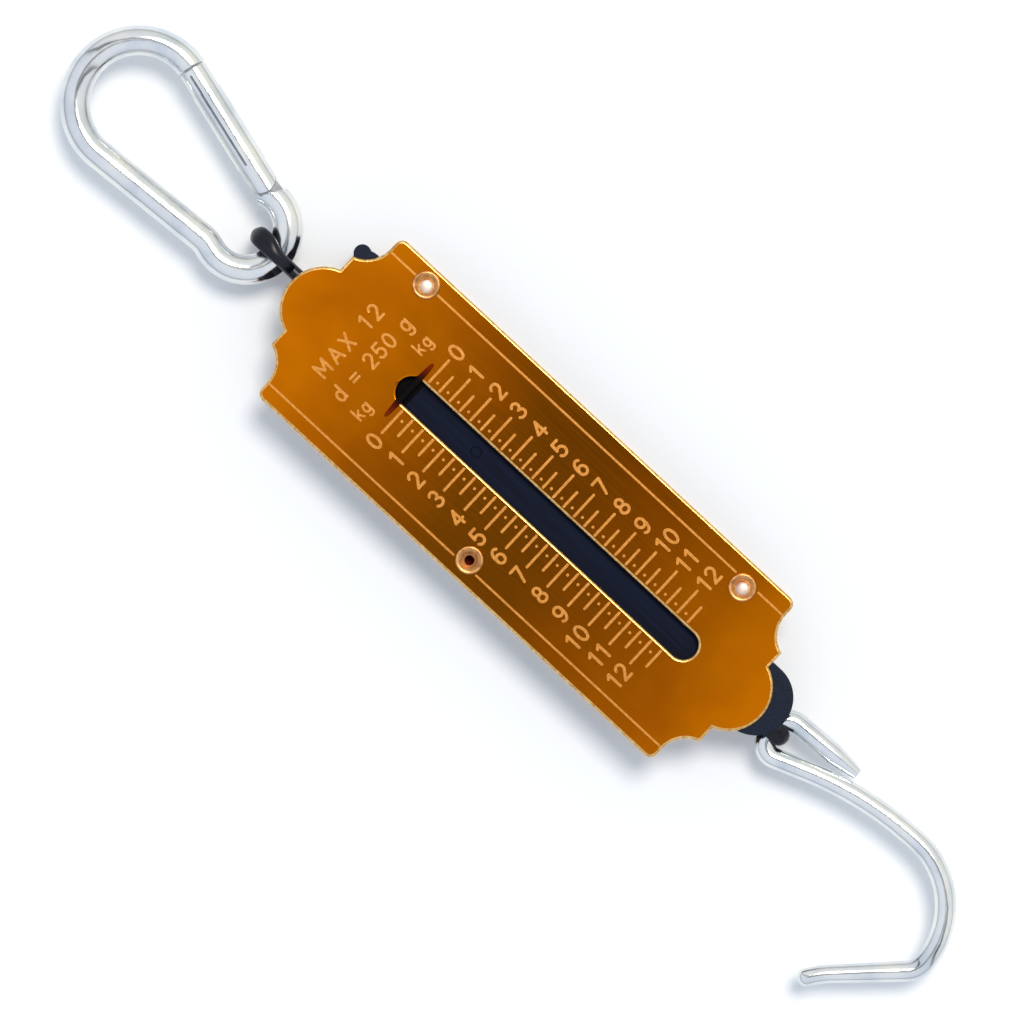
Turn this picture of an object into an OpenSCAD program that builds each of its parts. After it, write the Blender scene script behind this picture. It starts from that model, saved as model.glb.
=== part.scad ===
// Flat pocket spring balance, 12 kg, with a load hook below and a snap hook above.
// It lies on its back: X runs across the plates, +Y points to the snap hook, +Z to the dial side.
// The origin is the centre of the rear plate's back face. Millimetres and degrees.

/* [Plates] */
// Width of the front and rear plates
plate_w = 42; // [40:0.5:48]
// Length of the plates from nose to nose
plate_l = 125.6; // [122:0.1:135]
// Thickness of one plate
plate_t = 0.8; // [0.6:0.1:1.0]
// Radius of the round nose at each end
nose_r = 8.7; // [8:0.1:9.5]
// Distance from a nose's tip back to the step beside it
step_back = 5.6; // [5:0.1:6.5]
// Half width of the step beside the nose
step_x = 11.8; // [11:0.1:12.5]
// Distance from a nose's tip back to the shoulder
shoulder_back = 10.05; // [9.5:0.05:11]
// Distance of the cove's end from the plate's side
cove_end = 3.2; // [2.8:0.1:3.6]
// Radius of the plate's corners
corner_r = 1.7; // [1.2:0.1:2.2]

/* [Slot and pointer] */
// Width of the slot in the front plate
slot_w = 5.8; // [5.4:0.1:6.4]
// Length of the slot beyond the pointer's travel
slot_spare = 6.4; // [6:0.1:8]
// Distance from the upper nose's tip down to the slot
slot_back = 29.2; // [28:0.1:32]
// Length of the pointer across the plate
pointer_w = 14; // [12:0.5:16]
// Width of the pointer's bar
pointer_h = 1.4; // [1:0.1:1.8]
// Thickness of the pointer's bar
pointer_t = 0.6; // [0.5:0.1:0.8]
// Travel of the draw bar and the pointer, a little past full load
travel = 72; // [66:0.5:73]

/* [Case] */
// Thickness of the whole case, over both plates
case_t = 13.2; // [13:0.1:15]
// Step from the plate's side in to the moulded frame
frame_inset = 1.2; // [0.8:0.1:2]
// Width of the core that stands out of the notches
core_w = 26.4; // [25:0.1:27]
// Offset of the core to the right of the slot
core_x = 2.0; // [1.5:0.1:2.4]
// Distance from the upper nose's tip down to the core's top
core_top_back = 5.6; // [5.2:0.1:6]
// Distance from the lower nose's tip up to the core's bottom
core_bottom_back = 9.3; // [9:0.1:12]
// Radius of the core's corners
core_r = 3.3; // [2.5:0.1:4]
// Radius of the lip over the lower end
lip_r = 7.45; // [7:0.05:8]
// Distance that the lip stands out below the plates
lip_proud = 4.0; // [3:0.1:4.2]
// Thickness of the lip
lip_t = 1.2; // [1.0:0.1:1.3]
// Radius of the core's upper nose
crown_r = 4.4; // [4.2:0.1:4.8]
// Offset of the core's upper nose to the right of the slot
crown_x = 0.8; // [0.6:0.1:1.2]
// Distance that the upper nose stands out above the plates, which hide it where it is less than 0
crown_proud = -0.3; // [-0.6:0.1:0]
// Radius of the small ear at the core's upper right corner
ear_r = 1.75; // [1.6:0.05:1.9]

/* [Rivets] */
// Radius of a rivet's barrel
rivet_r = 1.9; // [1.7:0.1:2.1]
// Radius of the hole through a rivet
rivet_hole_r = 1.0; // [0.8:0.1:1.2]
// Depth of the hole in the left rivet, whose stem is gone
rivet_hole_l = 5.0; // [4:0.5:7]
// Radius of a rivet's flange
rivet_flange_r = 2.8; // [2.5:0.1:3.2]
// Height of a rivet's flange
rivet_flange_h = 0.6; // [0.4:0.1:0.8]
// Distance of the upper right rivet from the plate's side
rivet_right_in = 3.7; // [3.5:0.1:4.2]
// Distance of the lower right rivet from the plate's side
rivet_low_in = 5.0; // [4.6:0.1:5.2]
// Distance of the left rivet from the plate's side
rivet_left_in = 4.6; // [4:0.1:5]
// Distance of each right rivet from the middle
rivet_y = 42.8; // [38:0.1:45]

/* [Spring] */
// Diameter of the spring's wire
spring_wire = 1.2; // [1.0:0.05:1.25]
// Diameter of the coil at the middle of the wire
coil_d = 7.4; // [7:0.1:7.5]
// Turns of the coil
coil_turns = 18; // [15:1:19]
// Rise of the coil in one turn
coil_pitch = 1.68; // [1.66:0.01:1.75]
// Radius of the end hooks at the middle of the wire
end_hook_r = 2.4; // [2.3:0.1:2.6]
// Length from the coil's end to the middle of its pin
end_hook_l = 4.3; // [4.2:0.1:4.8]
// Radius of the pins that the spring hangs on
spring_pin_r = 1.5; // [1.3:0.1:1.55]
// Distance from the core's top down to the anchor pin
anchor_back = 4.9; // [4.7:0.1:5.3]

/* [Draw bar] */
// Width of the draw bar
bar_w = 12; // [11:0.1:12.4]
// Thickness of the draw bar
bar_t = 1.0; // [0.8:0.1:1.05]
// Thickness of the eye at the draw bar's lower end
draw_eye_t = 3.6; // [3.2:0.1:4]
// Offset of that eye to the right of the slot
draw_eye_x = -0.25; // [-0.4:0.05:0.1]
// Distance of that eye's hole from the lower nose's tip
draw_eye_drop = 3.8; // [3.6:0.1:4.4]
// Wall of that eye at its end
draw_eye_wall = 1.15; // [0.9:0.05:1.6]
// Length that holds the eye between the draw bar's ears
ear_l = 7.5; // [6.5:0.1:9]
// Radius of the pin through the ears
ear_pin_r = 1.25; // [1:0.05:1.5]

/* [Load hook] */
// Diameter of the hook's wire
hook_wire = 4.2; // [4:0.1:4.4]
// Radius of the bends beside the eye, at the middle of the wire
hook_bend_r = 2.8; // [2.6:0.1:3.2]
// Length of the straight wire inside the eye
hook_top_l = 2.75; // [2.6:0.05:3.5]
// Length of the short branch down to its cut end
hook_branch_l = 15.4; // [13:0.1:16]
// Length of the slanted cut at the short branch's end
hook_cut_l = 6; // [4:0.5:8]
// Width that the slanted cut leaves at the end
hook_cut_d = 2.4; // [2:0.1:2.6]
// Lean of the short branch away from the long one
hook_splay = 2.6; // [2:0.1:4]
// Lean of the long branch away from straight down
hook_lean = 21; // [19:0.5:23]
// Length of the straight part of the long branch
hook_slant_l = 6.6; // [5:0.1:8]
// Radius of the slow curve of the shank
hook_shank_r = 72; // [68:1:80]
// Radius of the bowl
hook_bowl_r = 17.1; // [15:0.1:19]
// Angle of the bowl
hook_bowl_a = 88; // [80:1:92]
// Radius of the tight bend after the bowl
hook_toe_r = 5; // [4:0.1:7]
// Angle of the tight bend
hook_toe_a = 47.2; // [40:0.1:55]
// Length of the tapered tip
hook_tip_l = 14.8; // [12:0.1:17]
// Diameter at the end of the tip
hook_tip_d = 3.6; // [2.6:0.1:4]

/* [Top eye and snap hook] */
// Thickness of the top eye
top_eye_t = 3.7; // [3.4:0.1:4]
// Offset of the top eye to the right of the slot
top_eye_x = 1.85; // [1.5:0.05:2.1]
// Radius of the top eye's hole
top_eye_hole_r = 3.8; // [3.7:0.1:3.9]
// Wall of the top eye
top_eye_wall = 2.6; // [2.2:0.1:2.7]
// Diameter of the snap hook's wire
snap_wire = 6; // [5.6:0.1:6.2]
// Radius of the narrow bend at the middle of the wire
snap_small_r = 8.2; // [7.8:0.1:8.8]
// Radius of the wide bend at the middle of the wire
snap_big_r = 12.6; // [12:0.1:13.5]
// Length of the straight back of the snap hook
snap_back_l = 26.1; // [24:0.1:28]
// Angle of the offset where the back meets the narrow bend
snap_jog_a = 23.5; // [20:0.5:25]
// Lean of the snap hook's back to the left
snap_lean = 3.76; // [3:0.1:5]
// Thickness of the tongues that the gate straddles
tongue_t = 2.0; // [1.6:0.1:2.2]
// Radius of the gate's hinge pin
gate_pin_r = 1.0; // [0.8:0.05:1.2]
// Radius of the gate's latch pin
latch_pin_r = 0.8; // [0.7:0.05:0.9]

/* [Hidden] */
$fn = 64;

// Clearances
run_gap = 0.2;     // between the draw bar and the frame around it
press_gap = 0.02;  // round a pin that is held fast
turn_gap = 0.06;   // round a pin that turns
free_gap = 0.3;    // between pieces that pass without touching
wire_gap = 2.9;    // between the core's upper nose and the snap hook's wire

// Heights through the case
mid_z = case_t / 2;
face_z = case_t - plate_t;
lip_z = face_z - lip_t;
bar_top_z = lip_z - run_gap;
bar_z = bar_top_z - bar_t;
coil_out_r = (coil_d + spring_wire) / 2;
spring_z = bar_z - free_gap - coil_out_r;

// Places along the case
tip_y = plate_l / 2;
nose_y = tip_y - nose_r;
step_y = tip_y - step_back;
shoulder_y = tip_y - shoulder_back;
core_top_y = tip_y - core_top_back;
core_bottom_y = core_bottom_back - tip_y;
crown_y = tip_y + crown_proud;
lip_y = -tip_y - lip_proud;
slot_l = travel + slot_spare;
slot_top_y = tip_y - slot_back;
slot_bottom_y = slot_top_y - slot_l;
pointer_y = slot_top_y - 2.3;
anchor_y = core_top_y - anchor_back;
coil_l = coil_turns * coil_pitch;
spring_pin_y = anchor_y - coil_l - 2 * end_hook_l;
channel_w = bar_w + 2 * run_gap;
lead_room = 1.8;   // depth of the relief for the wire between the coil and its upper hook
channel_top_y = anchor_y - end_hook_l + free_gap + spring_wire / 2;
neck_w = slot_w - 1.0;
foot_w = slot_w + 0.4;
foot_l = 7.4;
foot_t = 0.5;
bar_over = 6.2;    // length of draw bar above the pointer
window_under = 3;  // the core's window goes on this far below the slot
window_over = 8;   // and this far above it
draw_hole_y = -tip_y - draw_eye_drop;
draw_hole_r = hook_wire / 2 + free_gap;
draw_eye_r = draw_hole_r + draw_eye_wall;
bar_end_up = 11.6;  // from the middle of the draw eye up to the draw bar's lower end
bar_bottom_y = draw_hole_y + bar_end_up;
ear_t = 1.0;
ear_h = 6.4;

// Bent wires: sides round the wire, and the widest angle and longest chord between two rings
wire_sides = 16;
bend_step = 10;
chord_l = 3;
hook_start = [draw_eye_x + hook_top_l / 2 + hook_bend_r * cos(hook_splay) + hook_branch_l * sin(hook_splay),
              draw_hole_y - hook_bend_r * (1 - sin(hook_splay)) - hook_branch_l * cos(hook_splay)];

// Rivets: two on the right and one on the left
rivet_spots = [
    [plate_w / 2 - rivet_right_in, rivet_y],
    [plate_w / 2 - rivet_low_in, -rivet_y],
    [rivet_left_in - plate_w / 2, 0]
];

// Snap hook: where it hangs, the middles of its two bends, and its gate
snap_pivot_y = crown_y + wire_gap + snap_wire / 2;
top_eye_y = crown_y + wire_gap - 0.2 + top_eye_hole_r;
top_eye_r = top_eye_hole_r + top_eye_wall;
small_c = [top_eye_x - 0.25, snap_pivot_y + snap_small_r];
jog_r = 6;
back_dir = [-sin(snap_lean), cos(snap_lean)];
back_right = [cos(snap_lean), sin(snap_lean)];
jog_heading = 90 + snap_lean - snap_jog_a;
jog_start = small_c + snap_small_r * [-sin(jog_heading), cos(jog_heading)];
jog_c = jog_start + jog_r * [-sin(jog_heading), cos(jog_heading)];
back_start = jog_c + jog_r * back_right;
big_c = back_start + snap_back_l * back_dir + snap_big_r * back_right;
bend_end_a = 20;   // where the narrow bend's wire starts, before it is cut
latch_a = -12;     // where the wide bend's wire ends, measured round the bend
hinge_at = small_c + [snap_small_r + 0.9, 4.6];
latch_at = big_c + snap_big_r * [cos(latch_a), sin(latch_a)];
gate_a = atan2(latch_at[1] - hinge_at[1], latch_at[0] - hinge_at[0]);
gate_l = norm(latch_at - hinge_at) - 0.6;
latch_cut = gate_l + 0.42;
hinge_cut = snap_wire / 2 + free_gap;
hinge_cut_a = 57;
tongue_l = 5.0;
tongue_r = 2.5;
tongue_gap = 0.2;
latch_pin_at = gate_l - 2.4;
slot_floor = tongue_r + 0.7;
plunger_r = 1.15;
plunger_bore_l = 11;

module rounded_rect(w, l, r) {
    square([w - 2 * r, l], center = true);
    square([w, l - 2 * r], center = true);
    for (sx = [-1, 1], sy = [-1, 1])
        translate([sx * (w / 2 - r), sy * (l / 2 - r)]) circle(r = r);
}

// The middle line of a wire bent to a list of steps in its own plane, as points [x, y, radius].
// A step is [0, length, end radius] for a straight or tapered run,
// or [bend radius, angle] for a bend to the left, or to the right if the angle is negative.
function walk(steps, at, heading, r, i = 0) = i >= len(steps) ? [] :
    let (step = steps[i])
    step[0] == 0 ?
        let (to = at + step[1] * [cos(heading), sin(heading)], end_r = len(step) > 2 ? step[2] : r)
        concat([[to[0], to[1], end_r]], walk(steps, to, heading, end_r, i + 1)) :
        let (side = sign(step[1]),
             n = max(2, ceil(abs(step[1]) / bend_step), ceil(step[0] * abs(step[1]) * PI / 180 / chord_l)),
             middle = at + side * step[0] * [-sin(heading), cos(heading)],
             headings = [for (k = [1 : n]) heading + step[1] * k / n],
             points = [for (h = headings) middle + side * step[0] * [sin(h), -cos(h)]])
        concat([for (p = points) [p[0], p[1], r]],
               walk(steps, points[n - 1], heading + step[1], r, i + 1));

// A bent wire, lying at the middle of the case
module bent_wire(steps, at, heading, d) {
    points = concat([[at[0], at[1], d / 2]], walk(steps, at, heading, d / 2));
    swept_tube([for (p = points) [p[0], p[1], mid_z]], [for (p = points) p[2]], wire_sides);
}

// A flat ring round an axis along X, with rounded edges
module ring_x(hole_r, out_r, t, edge_r) {
    rotate([0, 90, 0]) rotate_extrude() translate([(hole_r + out_r) / 2, 0])
        rounded_rect(out_r - hole_r, t, edge_r);
}

module plate_outline() {
    half_w = plate_w / 2;
    cove_x = half_w - cove_end;
    run = cove_x - step_x;
    rise = step_y - shoulder_y;
    cove_r = (run * run + rise * rise) / (2 * rise);
    rounded_rect(plate_w, 2 * shoulder_y, corner_r);
    square([2 * step_x, 2 * step_y], center = true);
    for (sx = [-1, 1], sy = [-1, 1]) scale([sx, sy]) difference() {
        translate([step_x - 0.01, shoulder_y - 0.01]) square([run + 0.01, rise + 0.01]);
        translate([cove_x, shoulder_y + cove_r]) circle(r = cove_r);
    }
    for (sy = [-1, 1]) translate([0, sy * nose_y]) circle(r = nose_r);
}

module front_plate() {
    color("#C06A08") translate([0, 0, face_z]) linear_extrude(plate_t) difference() {
        plate_outline();
        translate([0, (slot_top_y + slot_bottom_y) / 2])
            square([slot_w, slot_l - slot_w], center = true);
        for (y = [slot_top_y - slot_w / 2, slot_bottom_y + slot_w / 2])
            translate([0, y]) circle(d = slot_w);
        for (p = rivet_spots) translate(p) circle(r = rivet_r + press_gap);
    }
}

module rear_plate() {
    color("#B86206") difference() {
        linear_extrude(plate_t) plate_outline();
        for (p = rivet_spots) translate([p[0], p[1], 0]) rear_rivet_seat(press_gap);
    }
}

// The countersunk rear end of a rivet, or with a gap the seat for it
module rear_rivet_seat(gap) {
    cylinder(r1 = rivet_flange_r + gap, r2 = rivet_r + gap, h = plate_t);
}

module rivets() {
    rim_r = rivet_flange_h / 2;
    color("#D8D8D4") for (p = rivet_spots) translate([p[0], p[1], 0]) difference() {
        union() {
            rear_rivet_seat(0);
            cylinder(r = rivet_r, h = case_t + rivet_flange_h);
            translate([0, 0, case_t]) cylinder(r = rivet_flange_r - rim_r, h = rivet_flange_h);
            translate([0, 0, case_t + rim_r]) rotate_extrude()
                translate([rivet_flange_r - rim_r, 0]) circle(r = rim_r);
        }
        if (p[0] < 0) translate([0, 0, case_t + rivet_flange_h - rivet_hole_l])
            cylinder(r = rivet_hole_r, h = rivet_hole_l + 1);
        translate([0, 0, case_t + rivet_flange_h - 1])
            cylinder(r1 = rivet_hole_r, r2 = rivet_hole_r + 1.1, h = 1.05);
    }
}

module frame_outline() {
    core_l = core_top_y - core_bottom_y;
    rounded_rect(plate_w - 2 * frame_inset, 2 * (shoulder_y - 3.25), core_r);
    translate([core_x, (core_top_y + core_bottom_y) / 2]) rounded_rect(core_w, core_l, core_r);
    translate([core_x + core_w / 2 - ear_r, core_top_y + 0.8 - ear_r]) circle(r = ear_r);
    translate([crown_x, crown_y - crown_r]) circle(r = crown_r);
    translate([crown_x, (crown_y - crown_r + core_top_y) / 2 - 1])
        square([2 * crown_r, crown_y - crown_r - core_top_y + 2], center = true);
}

// What both frame halves leave open: rivets, the draw channel, and the seats of the top eye
module frame_openings() {
    for (p = rivet_spots) translate([p[0], p[1], -1]) cylinder(r = rivet_r + press_gap, h = case_t + 2);
    translate([-channel_w / 2, -2 * tip_y, 0]) cube([channel_w, 2 * tip_y + channel_top_y, lip_z]);
    hook_room_r = end_hook_r + spring_wire / 2 + free_gap;
    translate([0, anchor_y, spring_z - spring_wire / 2 - free_gap]) {
        cylinder(r = hook_room_r, h = spring_wire + 2 * free_gap);
        translate([-hook_room_r, -end_hook_l - 1, 0])
            cube([2 * hook_room_r, end_hook_l + 1, spring_wire + 2 * free_gap]);
    }
    translate([-hook_room_r, channel_top_y - 1, spring_z - coil_out_r - free_gap])
        cube([hook_room_r - spring_pin_r / 2, 1 + lead_room, coil_out_r]);
    translate([0, anchor_y, 0]) cylinder(r = spring_pin_r + press_gap, h = face_z);
    translate([top_eye_x - top_eye_t / 2 - press_gap, eye_shank_y - press_gap, mid_z - eye_shank_h / 2 - press_gap])
        cube([top_eye_t + 2 * press_gap, crown_y, eye_shank_h + 2 * press_gap]);
    translate([top_eye_x - top_eye_t / 2 - press_gap, top_eye_y, mid_z]) rotate([0, 90, 0])
        cylinder(r = top_eye_r + press_gap, h = top_eye_t + 2 * press_gap);
    translate([crown_x - eye_pin_l / 2, eye_pin_y, mid_z]) rotate([0, 90, 0])
        cylinder(r = eye_pin_r + press_gap, h = eye_pin_l);
}

eye_shank_y = core_top_y - 1.1;
eye_shank_h = 8;
eye_pin_r = 1.0;
eye_pin_y = crown_y - 4.5;
eye_pin_l = 2 * crown_r - 1.0;

module front_frame() {
    color("#15171C") difference() {
        union() {
            translate([0, 0, mid_z]) linear_extrude(face_z - mid_z) frame_outline();
            translate([core_x, lip_y + lip_r, lip_z]) {
                cylinder(r = lip_r, h = lip_t);
                translate([-lip_r, 0, 0]) cube([2 * lip_r, core_bottom_y - lip_y - lip_r + core_r + 1, lip_t]);
            }
        }
        frame_openings();
        translate([-foot_w / 2 - free_gap, slot_bottom_y - window_under, lip_z - 1])
            cube([foot_w + 2 * free_gap, slot_l + window_under + window_over, face_z]);
    }
}

module rear_frame() {
    color("#15171C") difference() {
        translate([0, 0, plate_t]) linear_extrude(mid_z - plate_t) frame_outline();
        frame_openings();
    }
}

module top_eye() {
    color("#111318") {
        translate([top_eye_x, top_eye_y, mid_z])
            ring_x(top_eye_hole_r, top_eye_r, top_eye_t, top_eye_wall / 2 - 0.1);
        difference() {
            translate([top_eye_x - top_eye_t / 2, eye_shank_y, mid_z - eye_shank_h / 2])
                cube([top_eye_t, top_eye_y - eye_shank_y, eye_shank_h]);
            translate([top_eye_x - top_eye_t, top_eye_y, mid_z]) rotate([0, 90, 0])
                cylinder(r = top_eye_hole_r + top_eye_wall / 2, h = 2 * top_eye_t);
            translate([top_eye_x - top_eye_t, eye_pin_y, mid_z]) rotate([0, 90, 0])
                cylinder(r = eye_pin_r + press_gap, h = 2 * top_eye_t);
        }
    }
}

module top_eye_pin() {
    color("#9A9A98") translate([crown_x - eye_pin_l / 2, eye_pin_y, mid_z]) rotate([0, 90, 0])
        cylinder(r = eye_pin_r, h = eye_pin_l);
}

module spring_anchor_pin() {
    color("#9A9A98") translate([0, anchor_y, plate_t]) cylinder(r = spring_pin_r, h = face_z - plate_t);
}

// The spring's wire: a hook, the coil and a hook, as one list of points about the coil's middle
coil_r = coil_d / 2;
hook_from_a = 200;
hook_sweep = 290;
hook_steps = 14;
lead_steps = 6;
function unit(v) = v / norm(v);
function bezier(a, b, c, d, u) =
    pow(1 - u, 3) * a + 3 * pow(1 - u, 2) * u * b + 3 * (1 - u) * u * u * c + u * u * u * d;
lead_from = [0, coil_l / 2, -coil_r];
hook_mid = [0, coil_l / 2 + end_hook_l, 0];
lead_to = hook_mid + end_hook_r * [cos(hook_from_a), sin(hook_from_a), 0];
lead_pull = 2.4;
lead = [for (i = [1 : lead_steps])
    bezier(lead_from, lead_from + [-lead_pull, 0, 0],
           lead_to - lead_pull * [sin(hook_from_a), -cos(hook_from_a), 0], lead_to, i / lead_steps)];
upper_hook = concat(lead, [for (i = [1 : hook_steps])
    let (a = hook_from_a - hook_sweep * i / hook_steps) hook_mid + end_hook_r * [cos(a), sin(a), 0]]);
lower_hook = [for (i = [len(upper_hook) - 1 : -1 : 0])
    [-upper_hook[i][0], -upper_hook[i][1], upper_hook[i][2]]];
coil = [for (i = [0 : 8 * coil_turns])
    let (a = -90 - 45 * i) [coil_r * cos(a), coil_l * (i / (8 * coil_turns) - 0.5), coil_r * sin(a)]];
spring_path = concat(lower_hook, coil, upper_hook);
near = 6;
spring_gap = min([for (i = [0 : len(spring_path) - near - 1], j = [i + near : len(spring_path) - 1])
    norm(spring_path[i] - spring_path[j])]) - spring_wire;
echo(spring_least_gap_mm = spring_gap);

// A round tube swept along a path, with a radius at each point and its rings carried on without twist
module swept_tube(path, radii, sides) {
    n = len(path);
    tangents = [for (i = [0 : n - 1]) unit(path[min(i + 1, n - 1)] - path[max(i - 1, 0)])];
    start = unit(cross(tangents[0], [0, 0, 1]));
    normals = [for (i = 0, v = start; i < n; i = i + 1,
        v = i < n ? unit(v - (v * tangents[i]) * tangents[i]) : v) v];
    points = [for (i = [0 : n - 1], k = [0 : sides - 1])
        let (a = 360 * k / sides)
        path[i] + radii[i] * (cos(a) * normals[i] + sin(a) * cross(tangents[i], normals[i]))];
    walls = [for (i = [0 : n - 2], k = [0 : sides - 1])
        let (p = i * sides + k, q = i * sides + (k + 1) % sides)
        each [[p, q, q + sides], [p, q + sides, p + sides]]];
    caps = [for (k = [1 : sides - 2])
        each [[0, k + 1, k], [(n - 1) * sides, (n - 1) * sides + k, (n - 1) * sides + k + 1]]];
    polyhedron(points = points, faces = [for (f = concat(walls, caps)) [f[0], f[2], f[1]]]);
}

module spring() {
    color("#B8BABC") translate([0, (anchor_y + spring_pin_y) / 2, spring_z])
        swept_tube(spring_path, [for (p = spring_path) spring_wire / 2], 6);
}

module draw_bar() {
    top_y = pointer_y + bar_over;
    color("#16181E") difference() {
        union() {
            translate([-bar_w / 2, bar_bottom_y, bar_z]) cube([bar_w, top_y - bar_bottom_y, bar_t]);
            for (side = [-1, 1])
                translate([draw_eye_x + side * (draw_eye_t + ear_t + 2 * turn_gap) / 2,
                           bar_bottom_y + ear_l / 2, bar_z + bar_t / 2 - ear_h / 2])
                    cube([ear_t, ear_l, ear_h + bar_t], center = true);
        }
        translate([0, spring_pin_y, bar_z - 1]) cylinder(r = 1 + press_gap, h = bar_t + 2);
        translate([0, pointer_y + pointer_rivet_up, bar_z - 1]) cylinder(r = 0.8 + press_gap, h = bar_t + 2);
        translate([draw_eye_x - draw_eye_t, ear_pin_y, mid_z]) rotate([0, 90, 0])
            cylinder(r = ear_pin_r + press_gap, h = 2 * draw_eye_t);
    }
}

ear_pin_y = bar_bottom_y + ear_l / 2;
pointer_rivet_up = 3.9;

module spring_pin() {
    neck_z = spring_z - spring_wire / 2 - 1.6;
    color("#9A9A98") translate([0, spring_pin_y, 0]) {
        translate([0, 0, neck_z - 1]) cylinder(r = spring_pin_r + 0.7, h = 1);
        translate([0, 0, neck_z]) cylinder(r = spring_pin_r, h = bar_z - neck_z);
        translate([0, 0, bar_z]) cylinder(r = 1, h = bar_t);
    }
}

module pointer() {
    color("#6E1A00") difference() {
        union() {
            translate([-foot_w / 2, pointer_y + pointer_rivet_up + 2 - foot_l, bar_top_z])
                cube([foot_w, foot_l, foot_t]);
            translate([-neck_w / 2, pointer_y - pointer_h / 2, bar_top_z])
                cube([neck_w, pointer_h, case_t + 0.15 + pointer_t - bar_top_z]);
            translate([-pointer_w / 2, pointer_y - pointer_h / 2, case_t + 0.15])
                cube([pointer_w, pointer_h, pointer_t]);
        }
        translate([0, pointer_y + pointer_rivet_up, bar_z]) cylinder(r = 0.8 + press_gap, h = 3 * bar_t);
    }
}

module pointer_rivet() {
    color("#9A9A98") translate([0, pointer_y + pointer_rivet_up, bar_z]) {
        cylinder(r = 0.8, h = bar_t + foot_t);
        translate([0, 0, bar_t + foot_t]) cylinder(r1 = 1.4, r2 = 1.1, h = 0.45);
    }
}

module draw_eye() {
    shank_h = 2 * draw_eye_r - 1.2;
    color("#111318") {
        translate([draw_eye_x, draw_hole_y, mid_z]) ring_x(draw_hole_r, draw_eye_r, draw_eye_t, 0.45);
        difference() {
            translate([draw_eye_x - draw_eye_t / 2, draw_hole_y, mid_z - shank_h / 2])
                cube([draw_eye_t, bar_bottom_y + ear_l - draw_hole_y, shank_h]);
            translate([draw_eye_x - draw_eye_t, draw_hole_y, mid_z]) rotate([0, 90, 0])
                cylinder(r = draw_hole_r + draw_eye_wall / 2, h = 2 * draw_eye_t);
            translate([draw_eye_x - draw_eye_t, ear_pin_y, mid_z]) rotate([0, 90, 0])
                cylinder(r = ear_pin_r + press_gap, h = 2 * draw_eye_t);
        }
    }
}

module draw_eye_pin() {
    reach = draw_eye_t / 2 + turn_gap + ear_t;
    color("#9A9A98") translate([draw_eye_x, ear_pin_y, mid_z]) rotate([0, 90, 0]) {
        translate([0, 0, -reach]) cylinder(r = ear_pin_r, h = 2 * reach);
        for (z = [-reach - 0.5, reach]) translate([0, 0, z]) cylinder(r = ear_pin_r + 0.6, h = 0.5);
    }
}

module load_hook() {
    color("#C9CCCE")
        bent_wire([
            [0, hook_cut_l, hook_wire / 2],
            [0, hook_branch_l - hook_cut_l],
            [hook_bend_r, 90 - hook_splay],
            [0, hook_top_l],
            [hook_bend_r, 90 + hook_lean],
            [0, hook_slant_l],
            [hook_shank_r, -hook_lean],
            [hook_bowl_r, -hook_bowl_a],
            [hook_toe_r, -hook_toe_a],
            [0, hook_tip_l, hook_tip_d / 2],
            [22, 14],
            [0, 0.5, hook_tip_d / 2 - 0.3]
        ], hook_start, 90 + hook_splay, hook_cut_d);
}

// Everything on the far side of a line through a point, at right angles to a direction
module beyond(at, a, distance) {
    translate([at[0], at[1], mid_z]) rotate([0, 0, a])
        translate([distance, -snap_wire, -snap_wire]) cube([snap_wire, 2 * snap_wire, 2 * snap_wire]);
}

module snap_body() {
    start = small_c + snap_small_r * [cos(bend_end_a), sin(bend_end_a)];
    color("#C9CCCE") difference() {
        union() {
            difference() {
                bent_wire([
                    [snap_small_r, -(bend_end_a + 270 - jog_heading)],
                    [jog_r, snap_jog_a],
                    [0, snap_back_l],
                    [snap_big_r, -(180 + snap_lean - latch_a + 8)]
                ], start, bend_end_a - 90, snap_wire);
                beyond(hinge_at, hinge_cut_a, -hinge_cut);
                translate([hinge_at[0], hinge_at[1], mid_z]) rotate([0, 0, gate_a])
                    translate([latch_cut - 2 * snap_wire, -snap_wire, -snap_wire])
                        cube([2 * snap_wire, 2 * snap_wire, 2 * snap_wire]);
            }
            translate([hinge_at[0], hinge_at[1], mid_z - tongue_t / 2]) {
                cylinder(r = tongue_r, h = tongue_t);
                rotate([0, 0, -101]) translate([0, -tongue_r + 0.2, 0])
                    cube([hinge_cut + 2.5, 2 * tongue_r - 0.4, tongue_t]);
            }
            translate([hinge_at[0], hinge_at[1], mid_z]) rotate([0, 0, gate_a])
                translate([latch_cut - tongue_l, -2.5, -tongue_t / 2]) cube([tongue_l + 1.5, 4.4, tongue_t]);
        }
        translate([hinge_at[0], hinge_at[1], 0]) cylinder(r = gate_pin_r + turn_gap, h = case_t);
        translate([hinge_at[0], hinge_at[1], 0]) rotate([0, 0, gate_a]) translate([latch_pin_at, 0, 0]) {
            cylinder(r = latch_pin_r + tongue_gap, h = case_t);
            translate([-latch_pin_r - tongue_gap, 0, 0]) cube([2 * (latch_pin_r + tongue_gap), 6, case_t]);
        }
    }
}

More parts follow.
